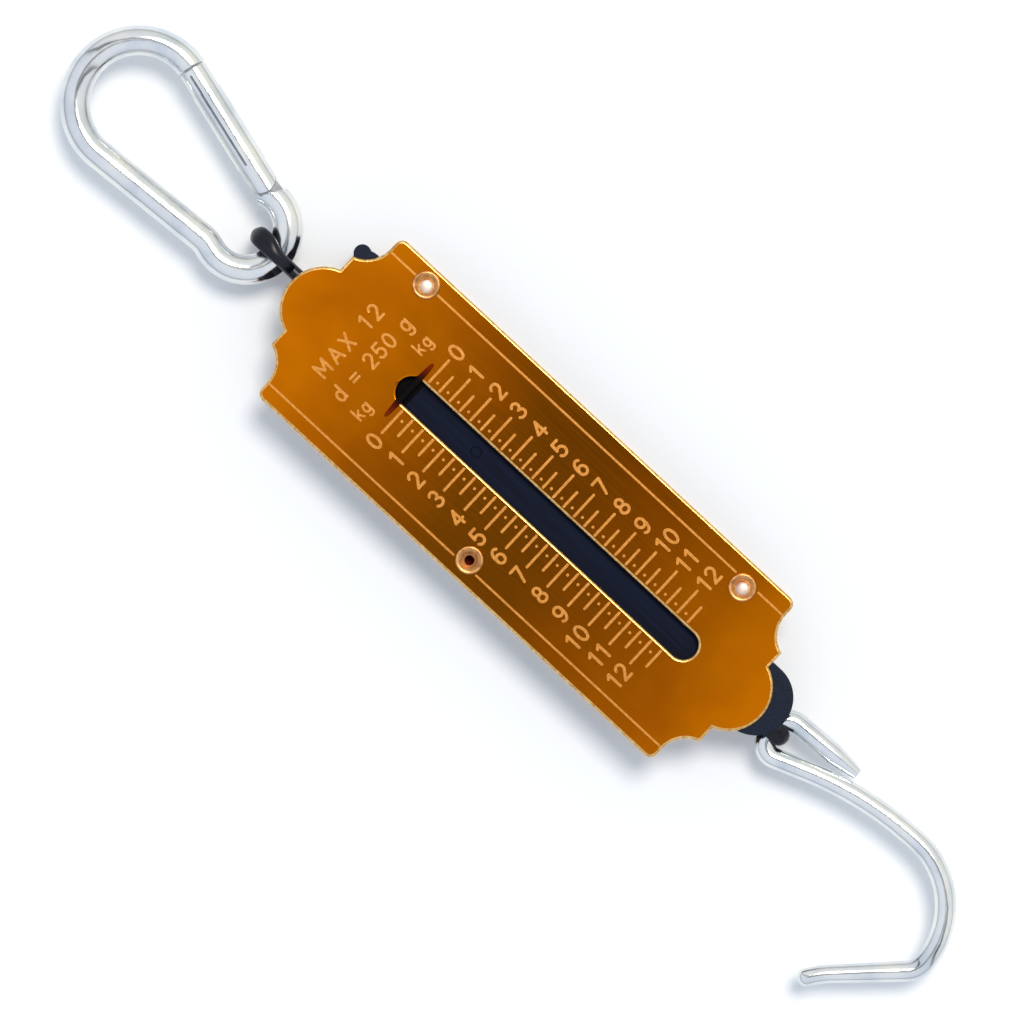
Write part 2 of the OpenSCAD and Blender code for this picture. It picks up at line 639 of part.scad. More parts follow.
module gate() {
    rod_r = snap_wire / 2;
    color("#C4C7C9") translate([hinge_at[0], hinge_at[1], mid_z]) rotate([0, 0, gate_a]) difference() {
        intersection() {
            translate([-rod_r, 0, 0]) rotate([0, 90, 0]) cylinder(r = rod_r, h = gate_l + rod_r);
            union() {
                translate([0, 0, -rod_r]) cylinder(r = rod_r, h = snap_wire);
                translate([0, -rod_r, -rod_r]) cube([gate_l, snap_wire, snap_wire]);
            }
        }
        translate([-rod_r - 1, -rod_r - 1, -tongue_t / 2 - tongue_gap])
            cube([slot_floor + rod_r + 1, snap_wire + 2, tongue_t + 2 * tongue_gap]);
        translate([latch_cut - tongue_l - 0.6, -rod_r - 1, -tongue_t / 2 - tongue_gap])
            cube([tongue_l + 1, snap_wire + 2, tongue_t + 2 * tongue_gap]);
        translate([0, 0, -rod_r]) cylinder(r = gate_pin_r + press_gap, h = snap_wire);
        translate([latch_pin_at, 0, -rod_r]) cylinder(r = latch_pin_r + press_gap, h = snap_wire);
        translate([slot_floor - 1, 0, 0]) rotate([0, 90, 0]) cylinder(r = plunger_r + 0.1, h = plunger_bore_l);
        rotate([-18, 0, 0]) translate([4.5, -0.25, rod_r - 0.5]) cube([gate_l - 11, 0.5, 1]);
    }
}

module gate_pin() {
    color("#A8AAAC") translate([hinge_at[0], hinge_at[1], mid_z - snap_wire / 2 + 0.15])
        cylinder(r = gate_pin_r, h = snap_wire - 0.3);
}

module latch_pin() {
    color("#A8AAAC") translate([hinge_at[0], hinge_at[1], mid_z - snap_wire / 2 + 0.15])
        rotate([0, 0, gate_a]) translate([latch_pin_at, 0, 0]) cylinder(r = latch_pin_r, h = snap_wire - 0.3);
}

module gate_plunger() {
    color("#A8AAAC") translate([hinge_at[0], hinge_at[1], mid_z]) rotate([0, 0, gate_a])
        translate([tongue_r + 0.1, 0, 0]) rotate([0, 90, 0]) cylinder(r = plunger_r, h = 4.5);
}

module gate_spring() {
    color("#B8BABC") translate([hinge_at[0], hinge_at[1], mid_z]) rotate([0, 0, gate_a])
        translate([tongue_r + 4.7, 0, 0]) rotate([0, 90, 0]) difference() {
            cylinder(r = plunger_r, h = 5.9);
            translate([0, 0, -1]) cylinder(r = plunger_r - 0.4, h = 8);
        }
}

front_plate();
rear_plate();
front_frame();
rear_frame();
rivets();
top_eye();
top_eye_pin();
spring_anchor_pin();
spring();
draw_bar();
spring_pin();
pointer();
pointer_rivet();
draw_eye();
draw_eye_pin();
load_hook();
snap_body();
gate();
gate_pin();
latch_pin();
gate_plunger();
gate_spring();
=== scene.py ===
"""Flat pocket spring balance: gold anodised scale plates on a black core, a wire hook and a snap hook."""
import math

import bmesh
import bpy
from mathutils import Matrix, Vector
from mathutils.geometry import delaunay_2d_cdt, tessellate_polygon


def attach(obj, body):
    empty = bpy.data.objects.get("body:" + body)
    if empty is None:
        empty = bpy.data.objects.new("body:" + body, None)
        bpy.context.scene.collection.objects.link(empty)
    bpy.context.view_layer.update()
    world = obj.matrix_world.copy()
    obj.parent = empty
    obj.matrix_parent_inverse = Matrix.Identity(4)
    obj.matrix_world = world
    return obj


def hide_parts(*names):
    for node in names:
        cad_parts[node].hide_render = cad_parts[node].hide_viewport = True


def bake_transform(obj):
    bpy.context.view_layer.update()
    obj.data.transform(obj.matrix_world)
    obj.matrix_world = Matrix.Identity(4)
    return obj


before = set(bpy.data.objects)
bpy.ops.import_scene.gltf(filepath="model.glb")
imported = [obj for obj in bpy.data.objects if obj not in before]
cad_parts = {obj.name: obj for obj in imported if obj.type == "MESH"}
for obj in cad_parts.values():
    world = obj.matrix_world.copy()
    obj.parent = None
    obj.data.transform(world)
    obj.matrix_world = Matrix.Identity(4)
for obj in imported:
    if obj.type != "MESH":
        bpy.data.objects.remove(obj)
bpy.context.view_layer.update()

MM = 0.001

# Plates, in millimetres: the sheet has one sharp edge, and one that the punch rolled over
PLATE_W, PLATE_T = 42.0, 0.8
TIP_Y, STEP_Y, SHOULDER_Y = 62.8, 57.2, 52.75
NOSE_R, STEP_X, COVE_X, CORNER_R = 8.7, 11.8, 17.8, 1.7
SHARP_R, ROLLED_R = 0.08, 0.55
CASE_T = 13.2
FACE_Z = CASE_T - PLATE_T
MID_Z = CASE_T / 2
SLOT_W, SLOT_TOP_Y, SLOT_BOTTOM_Y = 5.8, 33.6, -44.8

# Printed scale. A kind of mark is its reach in X left and right of the slot, and half its thickness
SCALE_ZERO_Y, KILO_STEP = 29.5, 5.525
BORDERS_X, BORDER_W = (-17.7, 17.4), 0.44
KILO_MARK = [(-10.0, -3.7), (3.6, 9.8)], 0.27
HALF_KILO_MARK = [(-8.3, -3.7), (3.6, 7.9)], 0.27
QUARTER_DOT = [(-5.75, -5.15), (4.5, 5.1)], 0.3
PRINT_T = 0.025

# Core between the plates
CORE_X, CORE_W, CORE_TOP_Y, CORE_BOTTOM_Y, CORE_R = 2.0, 26.4, 57.2, -53.5, 3.3
RAIL_INSET, RAIL_END_Y = 1.2, SHOULDER_Y - 3.25
CROWN_X, CROWN_Y, CROWN_R = 0.8, 62.5, 4.4
EAR_R, EAR_RISE = 1.75, 0.8
LIP_X, LIP_Y, LIP_R, LIP_Z = 2.0, -66.8, 7.45, 11.2
CHANNEL_W, CHANNEL_TOP_Y = 12.4, 48.9
FOOT_SLOT_W, FOOT_SLOT_TOP_Y, FOOT_SLOT_BOTTOM_Y = 7.0, 41.6, SLOT_BOTTOM_Y - 3
CLEARANCE = 0.02
EYE_ROOT_HALF_H = 4.0
EYE_SEAT_Y, EYE_SEAT_HALF_H = CORE_TOP_Y - 1.1, EYE_ROOT_HALF_H + CLEARANCE
OVERLAP_Y, BEYOND_Y = 4.0, 90.0        # joined shapes run into each other; cuts end past the core

# Blind rivets: x, y; the left one has lost its stem. Dish and stem are (radius, height over the dial)
RIVETS = [(17.3, 42.8), (16.0, -42.8), (-16.4, 0.0)]
RIVET_R, RIVET_HOLE_R, RIVET_HOLE_L, RIVET_RIM_R, RIVET_RIM_H = 1.9, 1.0, 5.0, 2.8, 0.6
RIVET_DISH = [(2.3, 0.58), (1.95, 0.4), (1.6, 0.1), (1.25, -0.25), (RIVET_HOLE_R, -0.4)]
RIVET_STEM = [(1.3, -0.4), (1.5, -0.2), (1.46, 0.0), (1.25, 0.2), (0.9, 0.34), (0.5, 0.42), (0.1, 0.44)]
STEM_OFF_X, STEM_OFF_Y = -0.15, -0.2

# Spring, draw bar and pointer, with the holes for their pins
ANCHOR_Y, SPRING_PIN_Y, SPRING_Z = 52.3, 13.46, 5.4
COIL_R, COIL_L, SPRING_WIRE, COIL_TURNS, END_HOOK_R, END_HOOK_L = 3.7, 30.24, 1.2, 18, 2.4, 4.3
BAR_W, BAR_T, BAR_Z, BAR_TOP_Y, BAR_BOTTOM_Y = 12.0, 1.0, 10.0, 37.5, -55.0
BAR_EAR_L, BAR_EAR_T, BAR_EAR_DROP, BAR_EAR_RISE = 7.5, 1.0, 6.4, 0.5
PIN_HOLE_R, EYE_PIN_HOLE_R, EYE_PIN_Y = 1.02, 1.27, BAR_BOTTOM_Y + 3.75

POINTER_Y, POINTER_HOLE_R = 31.3, 0.82
POINTER_RIVET_Y = POINTER_Y + 3.9

# Eyes: x, y, hole radius, outer radius, thickness
TOP_EYE = (1.85, 69.0, 3.8, 6.4, 3.7)
TOP_EYE_PIN_Y = CROWN_Y - 4.5
DRAW_EYE = (-0.25, -66.6, 2.4, 3.55, 3.6)

# Hooks. The snap hook has a small bend round its centre, a jog, a straight back and a big bend to its latch
HOOK_WIRE = 4.2
SNAP_WIRE, SNAP_LEAN, SNAP_JOG, SMALL_R, BIG_R, JOG_R, BACK_L = 6.0, 3.76, 23.5, 8.2, 12.6, 6.0, 26.1
SMALL_C, SMALL_FROM = Vector((1.6, 76.6)), 20
LATCH_AT, PAST_LATCH = 12, 8           # degrees of the big bend
HINGE, HINGE_CUT, HINGE_CUT_AT = Vector((10.7, 81.2)), 3.3, 57

# Gate: a rod whose forks leave room for the tongues. Places across it are shares of its half width,
# and the line pressed along it lies at GATE_LINE, with painted shade on its faces
GATE_R, GATE_SHORTER, LATCH_GAP, FORK_Z, HINGE_FORK_L, LATCH_FORK_L = 3, 0.6, 0.42, 1.2, 3.2, 5.6
GATE_LINE, GATE_LINE_HALF, GATE_LINE_DEPTH = 0.36, 0.083, 0.4
GATE_SHARES = sorted({*(math.cos(math.pi * k / 24) for k in range(25)),
                      *(GATE_LINE + step * GATE_LINE_HALF / 2 for step in range(-2, 3))}, reverse=True)
GATE_LINE_PAINTED_FACES = [k + 1 for k, (a, b) in enumerate(zip(GATE_SHARES, GATE_SHARES[1:]))
                   if abs((a + b) / 2 - GATE_LINE) < 0.065]


# Shaders. A pattern's scale is its number of grains to the metre: 1000 stands for a grain of 1 mm

def linear(hex_colour):
    """A colour written as sRGB hex, such as C8700A, as linear red, green, blue and alpha."""
    channels = [int(hex_colour[i:i + 2], 16) / 255 for i in (0, 2, 4)]
    return tuple(c / 12.92 if c <= 0.04045 else ((c + 0.055) / 1.055) ** 2.4 for c in channels) + (1.0,)


def add(tree, kind, inputs=None, stops=(), **settings):
    """One shader node with its settings; an input takes a value, or the socket it is linked to. A colour
    ramp has stops too, each a position and a colour: sRGB hex, or a plain level of grey."""
    node = tree.nodes.new(kind)
    for name, value in settings.items():
        setattr(node, name, value)
    for key, value in (inputs or {}).items():
        if isinstance(value, bpy.types.NodeSocket):
            tree.links.new(value, node.inputs[key])
        else:
            node.inputs[key].default_value = value
    for i, (position, colour) in enumerate(stops):
        elements = node.color_ramp.elements
        element = elements[i] if i < 2 else elements.new(position)
        element.position = position
        element.color = linear(colour) if isinstance(colour, str) else (colour, colour, colour, 1)
    return node


def new_material(name):
    """An empty material, with its node tree."""
    material = bpy.data.materials.new(name)
    material.use_nodes = True
    material.node_tree.nodes.clear()
    return material, material.node_tree


def anodised_aluminium():
    """Rolled aluminium sheet, dyed orange-gold and sealed: a metal with fine rolling lines along it, and a
    painted shade that makes the colour a little deeper and browner in the middle of the sheet than towards
    its ends."""
    material, tree = new_material("anodised_aluminium")
    place = add(tree, "ShaderNodeTexCoord").outputs["Object"]
    axis = add(tree, "ShaderNodeSeparateXYZ", {"Vector": place})
    # Painted shade: the colour darkens towards the middle of the sheet, by the distance along it from the
    # middle
    along = add(tree, "ShaderNodeMath", {0: axis.outputs["Y"], 1: 1 / (TIP_Y * MM)}, operation="MULTIPLY")
    reach = add(tree, "ShaderNodeMath", {0: along.outputs[0]}, operation="ABSOLUTE")
    # Clouds of dye about 26 mm across
    cloud = add(tree, "ShaderNodeTexNoise", {"Vector": place, "Scale": 38, "Detail": 3, "Roughness": 0.55})
    mottle = add(tree, "ShaderNodeMath", {0: cloud.outputs["Fac"], 1: 1.5, 2: -0.75},
                 operation="MULTIPLY_ADD")
    # The painted shade towards the middle, with the clouds added to it
    depth = add(tree, "ShaderNodeMath", {0: reach.outputs[0], 1: mottle.outputs[0]}, operation="ADD")
    dye_and_painted_shade = add(tree, "ShaderNodeValToRGB", {"Fac": depth.outputs[0]},
              [(0.0, "A25A02"), (0.5, "B96100"), (1.0, "D67600")])
    # Rolling lines, really about 0.05 mm apart, drawn at 0.35 mm across the sheet so that they show
    sheet = add(tree, "ShaderNodeMapping", {"Vector": place, "Scale": (2800, 60, 60)})
    lines = add(tree, "ShaderNodeTexNoise",
                {"Vector": sheet.outputs[0], "Scale": 1, "Detail": 2, "Roughness": 0.6})
    rough = add(tree, "ShaderNodeMapRange", {"Value": lines.outputs["Fac"], "To Min": 0.12, "To Max": 0.18})
    # The sheet is bowed a little along and across, which turns a flat mirror into a slightly rounded one
    square = add(tree, "ShaderNodeVectorMath", {0: place, 1: place}, operation="MULTIPLY")
    camber = add(tree, "ShaderNodeVectorMath", {0: square.outputs[0], 1: (-0.15, -0.5, 0)},
                 operation="DOT_PRODUCT")
    height = add(tree, "ShaderNodeMath",
                 {0: lines.outputs["Fac"], 1: 0.0000012, 2: camber.outputs["Value"]},
                 operation="MULTIPLY_ADD")
    bump = add(tree, "ShaderNodeBump", {"Height": height.outputs[0], "Strength": 1.0, "Distance": 1.0})
    shader = add(tree, "ShaderNodeBsdfPrincipled",
                 {"Base Color": dye_and_painted_shade.outputs["Color"], "Metallic": 1.0, "Roughness": rough.outputs[0],
                  "Coat Weight": 0.06, "Coat Roughness": 0.1, "Coat IOR": 1.5, "Normal": bump.outputs[0]})
    add(tree, "ShaderNodeOutputMaterial", {"Surface": shader.outputs[0]})
    return material


def grained(name, scale, detail, tones, rough, sockets, bump=None):
    """A material with one grain, which its colour follows, and its roughness too where rough is a low and
    a high value. A bump has a strength, and a depth in metres."""
    material, tree = new_material(name)
    place = add(tree, "ShaderNodeTexCoord").outputs["Object"]
    if isinstance(scale, tuple):
        place = add(tree, "ShaderNodeMapping", {"Vector": place, "Scale": scale}).outputs[0]
        scale = 1
    grain = add(tree, "ShaderNodeTexNoise", {"Vector": place, "Scale": scale, "Detail": detail})
    tone = add(tree, "ShaderNodeValToRGB", {"Fac": grain.outputs["Fac"]}, tones)
    inputs = {"Base Color": tone.outputs["Color"], "Roughness": rough, **sockets}
    if isinstance(rough, tuple):
        gloss = add(tree, "ShaderNodeMapRange",
                    {"Value": grain.outputs["Fac"], "To Min": rough[0], "To Max": rough[1]})
        inputs["Roughness"] = gloss.outputs[0]
    if bump:
        raised = add(tree, "ShaderNodeBump",
                     {"Height": grain.outputs["Fac"], "Strength": bump[0], "Distance": bump[1]})
        inputs["Normal"] = raised.outputs[0]
    shader = add(tree, "ShaderNodeBsdfPrincipled", inputs)
    add(tree, "ShaderNodeOutputMaterial", {"Surface": shader.outputs[0]})
    return material


def sheared_aluminium():
    """The punched edge of the sheet, burnished by the die after dyeing: nearly bare aluminium, which catches
    the light as a pale rim round the plates and the slot. The shearing left marks 0.6 mm apart."""
    return grained("sheared_aluminium", (1600, 1600, 120), 2, [(0.3, "C8934A"), (0.7, "EBC684")],
                   (0.2, 0.4), {"Metallic": 1.0})


def printed_ink():
    """Screen-printed pale gold ink on the anodising: thin enough that the metal's sheen comes through it,
    with the 0.7 mm mottle of the screen."""
    return grained("screen_printed_ink", 1500, 2, [(0.3, "BA7831"), (0.7, "D29044")],
                   0.3, {"Metallic": 0.8, "IOR": 1.5})


def moulded_abs():
    """Injection-moulded black ABS with a trace of blue: half-gloss, with the spark-eroded grain of the
    mould. It is really about 0.1 mm, and drawn at 0.4 mm so that it shows."""
    return grained("moulded_abs", 2600, 2, [(0.3, "08101E"), (0.75, "101F36")],
                   (0.3, 0.48), {"IOR": 1.54, "Specular IOR Level": 0.12}, (0.12, 0.00004))


def enamelled_steel():
    """Steel stamping dipped in black stoving enamel: deep gloss with a soft orange peel of 1.4 mm, and dull
    in patches of 5 mm."""
    material, tree = new_material("enamelled_steel")
    place = add(tree, "ShaderNodeTexCoord").outputs["Object"]
    peel = add(tree, "ShaderNodeTexNoise", {"Vector": place, "Scale": 700, "Detail": 1})
    wear = add(tree, "ShaderNodeTexNoise", {"Vector": place, "Scale": 190, "Detail": 3})
    tone = add(tree, "ShaderNodeValToRGB", {"Fac": wear.outputs["Fac"]}, [(0.35, "05060C"), (0.8, "0D1220")])
    rough = add(tree, "ShaderNodeMapRange", {"Value": wear.outputs["Fac"], "To Min": 0.2, "To Max": 0.38})
    bump = add(tree, "ShaderNodeBump", {"Height": peel.outputs["Fac"], "Strength": 0.15, "Distance": 0.00005})
    shader = add(tree, "ShaderNodeBsdfPrincipled",
                 {"Base Color": tone.outputs["Color"], "Roughness": rough.outputs[0], "IOR": 1.5,
                  "Specular IOR Level": 0.3, "Normal": bump.outputs[0]})
    add(tree, "ShaderNodeOutputMaterial", {"Surface": shader.outputs[0]})
    return material


def blackened_steel():
    """The stamped bar's blackening, rubbed by its run under the plate: blue-black, with faint long rubs
    0.7 mm apart."""
    material, tree = new_material("blackened_steel")
    place = add(tree, "ShaderNodeTexCoord").outputs["Object"]
    bar = add(tree, "ShaderNodeMapping", {"Vector": place, "Scale": (1500, 45, 45)})
    rubs = add(tree, "ShaderNodeTexNoise",
               {"Vector": bar.outputs[0], "Scale": 1, "Detail": 3, "Roughness": 0.6})
    tone = add(tree, "ShaderNodeValToRGB", {"Fac": rubs.outputs["Fac"]}, [(0.35, "080C1C"), (0.75, "0E1830")])
    rough = add(tree, "ShaderNodeMapRange", {"Value": rubs.outputs["Fac"], "To Min": 0.35, "To Max": 0.5})
    shader = add(tree, "ShaderNodeBsdfPrincipled",
                 {"Base Color": tone.outputs["Color"], "Roughness": rough.outputs[0], "IOR": 1.5,
                  "Specular IOR Level": 0.06})
    add(tree, "ShaderNodeOutputMaterial", {"Surface": shader.outputs[0]})
    return material


def anodised_rivet():
    """The shell of a blind rivet, dyed a paler gold than the plates: satin, with marks of about 1 mm from
    the setting tool."""
    return grained("anodised_rivet_shell", 900, 3, [(0.3, "AA7444"), (0.7, "D69E62")],
                   (0.24, 0.4), {"Metallic": 1.0})


def rust():
    """What is left in the hole of the rivet that lost its stem: dark red-brown rust and old grease, in
    crusts of 0.7 mm."""
    return grained("rust_and_grease", 1500, 3, [(0.35, "6A1608"), (0.7, "A03416")],
                   0.75, {"IOR": 1.5, "Specular IOR Level": 0.1}, (0.4, 0.0001))


def bright_steel(name, dark, light, rough):
    """Bright drawn steel left bare: grey metal, where the oil film has dulled it in patches of 2.4 mm."""
    return grained(name, 420, 4, [(0.3, dark), (0.7, light)], rough, {"Metallic": 1.0})


def zinc_plated_wire():
    """Drawn steel wire, bright zinc plated: near-white metal, with shallow waves left by the drawing and
    bending, faint lines along the wire, and a trace of the blue of its passivating bath."""
    material, tree = new_material("zinc_plated_wire")
    coordinates = add(tree, "ShaderNodeTexCoord")
    place, round_wire = coordinates.outputs["Object"], coordinates.outputs["UV"]
    # The bath's clouds are about 8 mm across, and the waves 4 mm
    clouds = add(tree, "ShaderNodeTexNoise", {"Vector": place, "Scale": 120, "Detail": 4})
    waves = add(tree, "ShaderNodeTexNoise", {"Vector": place, "Scale": 260, "Detail": 1})
    tone = add(tree, "ShaderNodeValToRGB", {"Fac": clouds.outputs["Fac"]},
               [(0.3, "CCD3D8"), (0.5, "E0E3E4"), (0.72, "EDEDE6")])
    rough = add(tree, "ShaderNodeMapRange", {"Value": clouds.outputs["Fac"], "To Min": 0.1, "To Max": 0.2})
    # Draw lines: UV runs round the wire in U and along it in V, in metres; about 0.25 mm apart
    wire = add(tree, "ShaderNodeMapping", {"Vector": round_wire, "Scale": (4000, 90, 1)})
    lines = add(tree, "ShaderNodeTexNoise", {"Vector": wire.outputs[0], "Scale": 1, "Detail": 2})
    height = add(tree, "ShaderNodeMath", {0: lines.outputs["Fac"], 1: 0.12, 2: waves.outputs["Fac"]},
                 operation="MULTIPLY_ADD")
    bump = add(tree, "ShaderNodeBump", {"Height": height.outputs[0], "Strength": 0.25, "Distance": 0.0003})
    shader = add(tree, "ShaderNodeBsdfPrincipled",
                 {"Base Color": tone.outputs["Color"], "Metallic": 1.0, "Roughness": rough.outputs[0],
                  "Normal": bump.outputs[0]})
    add(tree, "ShaderNodeOutputMaterial", {"Surface": shader.outputs[0]})
    return material


def grime():
    """Grey painted into the line pressed along the gate: painted shade and painted dark reflection, dull, in
    uneven spots of 1.7 mm.
    """
    return grained("painted_dark_line", 600, 3, [(0.3, "80868D"), (0.75, "A6ABB0")],
                   (0.6, 0.85), {"IOR": 1.5, "Specular IOR Level": 0.15})


def pointer_lacquer():
    """Dark red lacquer brushed on the pointer's ends, over its blackening: the middle is nearly black, and
    the lacquer ran in ridges about 3 mm apart."""
    material, tree = new_material("red_lacquer")
    place = add(tree, "ShaderNodeTexCoord").outputs["Object"]
    runs = add(tree, "ShaderNodeTexNoise", {"Vector": place, "Scale": 350, "Detail": 2})
    axis = add(tree, "ShaderNodeSeparateXYZ", {"Vector": place})
    reach = add(tree, "ShaderNodeMath", {0: axis.outputs["X"]}, operation="ABSOLUTE")
    cover = add(tree, "ShaderNodeMath", {0: reach.outputs[0], 1: 130.0}, operation="MULTIPLY")
    ragged = add(tree, "ShaderNodeMath", {0: runs.outputs["Fac"], 1: 0.12, 2: cover.outputs[0]},
                 operation="MULTIPLY_ADD")
    tone = add(tree, "ShaderNodeValToRGB", {"Fac": ragged.outputs[0]},
               [(0.42, "0A0607"), (0.54, "3E0E02"), (0.75, "6A1A00"), (1.0, "7C2C02")])
    bump = add(tree, "ShaderNodeBump", {"Height": runs.outputs["Fac"], "Strength": 0.2, "Distance": 0.00006})
    shader = add(tree, "ShaderNodeBsdfPrincipled",
                 {"Base Color": tone.outputs["Color"], "Roughness": 0.45, "IOR": 1.5,
                  "Specular IOR Level": 0.03, "Normal": bump.outputs[0]})
    add(tree, "ShaderNodeOutputMaterial", {"Surface": shader.outputs[0]})
    return material


GOLD = anodised_aluminium()
BARE_EDGE = sheared_aluminium()
INK = printed_ink()
BLACK_ABS = moulded_abs()
ENAMEL = enamelled_steel()
BLACKENED = blackened_steel()
RIVET_SHELL = anodised_rivet()
RIVET_BREAK = bright_steel("broken_rivet_stem", "CFB2A4", "F2E2CC", (0.4, 0.55))
RUSTED_HOLE = rust()
PIN_STEEL = bright_steel("bright_drawn_steel", "A2A4A6", "C9CACA", (0.2, 0.4))
SPRING_STEEL = bright_steel("oiled_spring_wire", "94969A", "C2C3C4", (0.22, 0.36))
ZINC = zinc_plated_wire()
PAINTED_LINE_SHADE = grime()
RED = pointer_lacquer()


# Shapes

def circle(r, x=0.0, y=0.0, n=64):
    """A circle's points, anticlockwise like those of every shape."""
    return [(x + r * math.cos(2 * math.pi * i / n), y + r * math.sin(2 * math.pi * i / n)) for i in range(n)]


def rectangle(x0, x1, y0, y1):
    """A rectangle's points."""
    return [(x0, y0), (x1, y0), (x1, y1), (x0, y1)]


def rounded(x0, x1, y0, y1, r, n=8):
    """A rectangle with round corners."""
    points = []
    corners = ((x1 - r, y1 - r, 0), (x0 + r, y1 - r, 90), (x0 + r, y0 + r, 180), (x1 - r, y0 + r, 270))
    for cx, cy, turn in corners:
        for k in range(n + 1):
            a = math.radians(turn + 90 * k / n)
            points.append((cx + r * math.cos(a), cy + r * math.sin(a)))
    return points


def outline(shapes, cuts=()):
    """The edges of flat shapes joined, less others: closed loops with the material on their left."""
    points, faces = [], []
    for shape in [*shapes, *cuts]:
        faces.append(list(range(len(points), len(points) + len(shape))))
        points += [Vector(p) for p in shape]
    found, _, triangles, _, _, origins = delaunay_2d_cdt(points, [], faces, 1, 1e-4)
    edges = set()
    for triangle, origin in zip(triangles, origins):
        if origin and max(origin) < len(shapes):
            edges |= {(triangle[i], triangle[(i + 1) % 3]) for i in range(3)}
    follow = {a: b for a, b in edges if (b, a) not in edges}
    loops = []
    while follow:
        loop = [min(follow)]
        while loop[-1] in follow:
            loop.append(follow.pop(loop[-1]))
        spots = [found[i] for i in loop[:-1]]
        keep = []
        for i, p in enumerate(spots):
            a, b = (p - spots[i - 1]), (spots[(i + 1) % len(spots)] - p)
            if a.length > 1e-3 and abs(a.cross(b)) > 1e-4 * a.length * b.length:
                keep.append(p)
        loops.append(keep)
    return loops


def inset(loop, distance):
    """A loop moved into its material by a distance, with its corners kept."""
    moved = []
    for i, p in enumerate(loop):
        a = (p - loop[i - 1]).normalized()
        b = (loop[(i + 1) % len(loop)] - p).normalized()
        side_a, side_b = Vector((-a.y, a.x)), Vector((-b.y, b.x))
        moved.append(p + (side_a + side_b) * (distance / max(0.35, 1 + side_a.dot(side_b))))
    return moved


def slab(bm, loops, z0, z1, low=0.0, high=0.0, steps=3, place=Matrix(), tall=1.0, rim=0):
    """A flat piece between two heights, with its lower and upper edges rounded: tall times as high as
    they are wide. Its sides and rounded edges take the material with the index rim."""
    turns = [math.pi / 2 * k / steps for k in range(steps + 1)]
    lower = [(low * (1 - math.sin(a)), z0 + tall * low * (1 - math.cos(a))) for a in turns]
    upper = [(high * (1 - math.cos(a)), z1 - tall * high * (1 - math.sin(a))) for a in turns]
    levels = (lower if low else lower[-1:]) + (upper if high else upper[:1])
    rings = [[[bm.verts.new(place @ Vector((p.x, p.y, z)) * MM) for p in inset(loop, distance)]
              for loop in loops] for distance, z in levels]
    for level, next_level in zip(rings, rings[1:]):
        for ring, above in zip(level, next_level):
            for i in range(len(ring)):
                j = (i + 1) % len(ring)
                bm.faces.new((ring[i], ring[j], above[j], above[i])).material_index = rim
    for at, flip in ((0, True), (-1, False)):
        ring = rings[at]
        flat = [[Vector((p.x, p.y, 0)) for p in inset(loop, levels[at][0])] for loop in loops]
        spots = [p for part in flat for p in part]
        verts = [v for part in ring for v in part]
        for triangle in tessellate_polygon(flat):
            corners = [verts[i] for i in triangle]
            a, b, c = (spots[i] for i in triangle)
            if ((b - a).cross(c - a).z < 0) != flip:
                corners.reverse()
            if bm.faces.get(corners) is None:
                bm.faces.new(corners)
        for part in ring:
            for i, v in enumerate(part):
                edge = bm.edges.get((part[i - 1], v))
                if edge:
                    edge.smooth = False


def turned(bm, profile, x, y, sides=48):
    """A turned piece about an upright axis: an anticlockwise profile of (radius, height) and two discs."""
    rings = [[bm.verts.new(Vector((x + r * math.cos(2 * math.pi * k / sides),
                                   y + r * math.sin(2 * math.pi * k / sides), z)) * MM)
              for k in range(sides)] for r, z in profile]
    bm.faces.new(rings[0][::-1])
    bm.faces.new(rings[-1])
    for ring, above in zip(rings, rings[1:]):
        for k in range(sides):
            j = (k + 1) % sides
            bm.faces.new((ring[k], ring[j], above[j], above[k]))


def rounded_end(at, radius, ahead, size, steps=5):
    """The places and radii of the rings that round a wire's end, from its last point inwards."""
    inward = (ahead - at).normalized() * size
    turns = [math.pi / 2 * k / steps for k in range(steps, -1, -1)]
    return [(at + inward * (1 - math.sin(a)), radius - size * (1 - math.cos(a))) for a in turns]


def swept(bm, path, radii, sides, ends):
    """A round wire along a path, with a radius at each point and the edges of its two ends rounded.
    Its UV map runs round the wire and along it, in metres."""
    line = [(Vector(p), radius) for p, radius in zip(path, radii)]
    middle = list(line)
    if ends[0]:
        middle[:1] = rounded_end(*line[0], line[1][0], ends[0])
    if ends[1]:
        middle[-1:] = rounded_end(*line[-1], line[-2][0], ends[1])[::-1]
    spots = [m[0] for m in middle]
    count = len(spots)
    tangents = [(spots[min(i + 1, count - 1)] - spots[max(i - 1, 0)]).normalized() for i in range(count)]
    side = tangents[0].cross(Vector((0, 0, 1))).normalized()
    uv = bm.loops.layers.uv.verify()
    facet = 2 * math.pi * max(radii) / sides * MM
    below, travelled, rings = None, 0.0, []
    for i, (spot, radius) in enumerate(middle):
        side = (side - side.dot(tangents[i]) * tangents[i]).normalized()
        up = tangents[i].cross(side)
        ring = [bm.verts.new((spot + radius * (math.cos(2 * math.pi * k / sides) * side
                                               + math.sin(2 * math.pi * k / sides) * up)) * MM)
                for k in range(sides)]
        rings.append(ring)
        if below:
            step = (spot - spots[i - 1]).length
            for k in range(sides):
                j = (k + 1) % sides
                face = bm.faces.new((below[k], below[j], ring[j], ring[k]))
                for corner, (u, v) in zip(face.loops, ((k, 0), (k + 1, 0), (k + 1, step), (k, step))):
                    corner[uv].uv = (u * facet, (travelled + v) * MM)
            travelled += step
        below = ring
    bm.faces.new(rings[0][::-1])
    bm.faces.new(rings[-1])
    return rings


def in_scene(name, data):
    """A new object of the scene."""
    item = bpy.data.objects.new(name, data)
    bpy.context.scene.collection.objects.link(item)
    return item


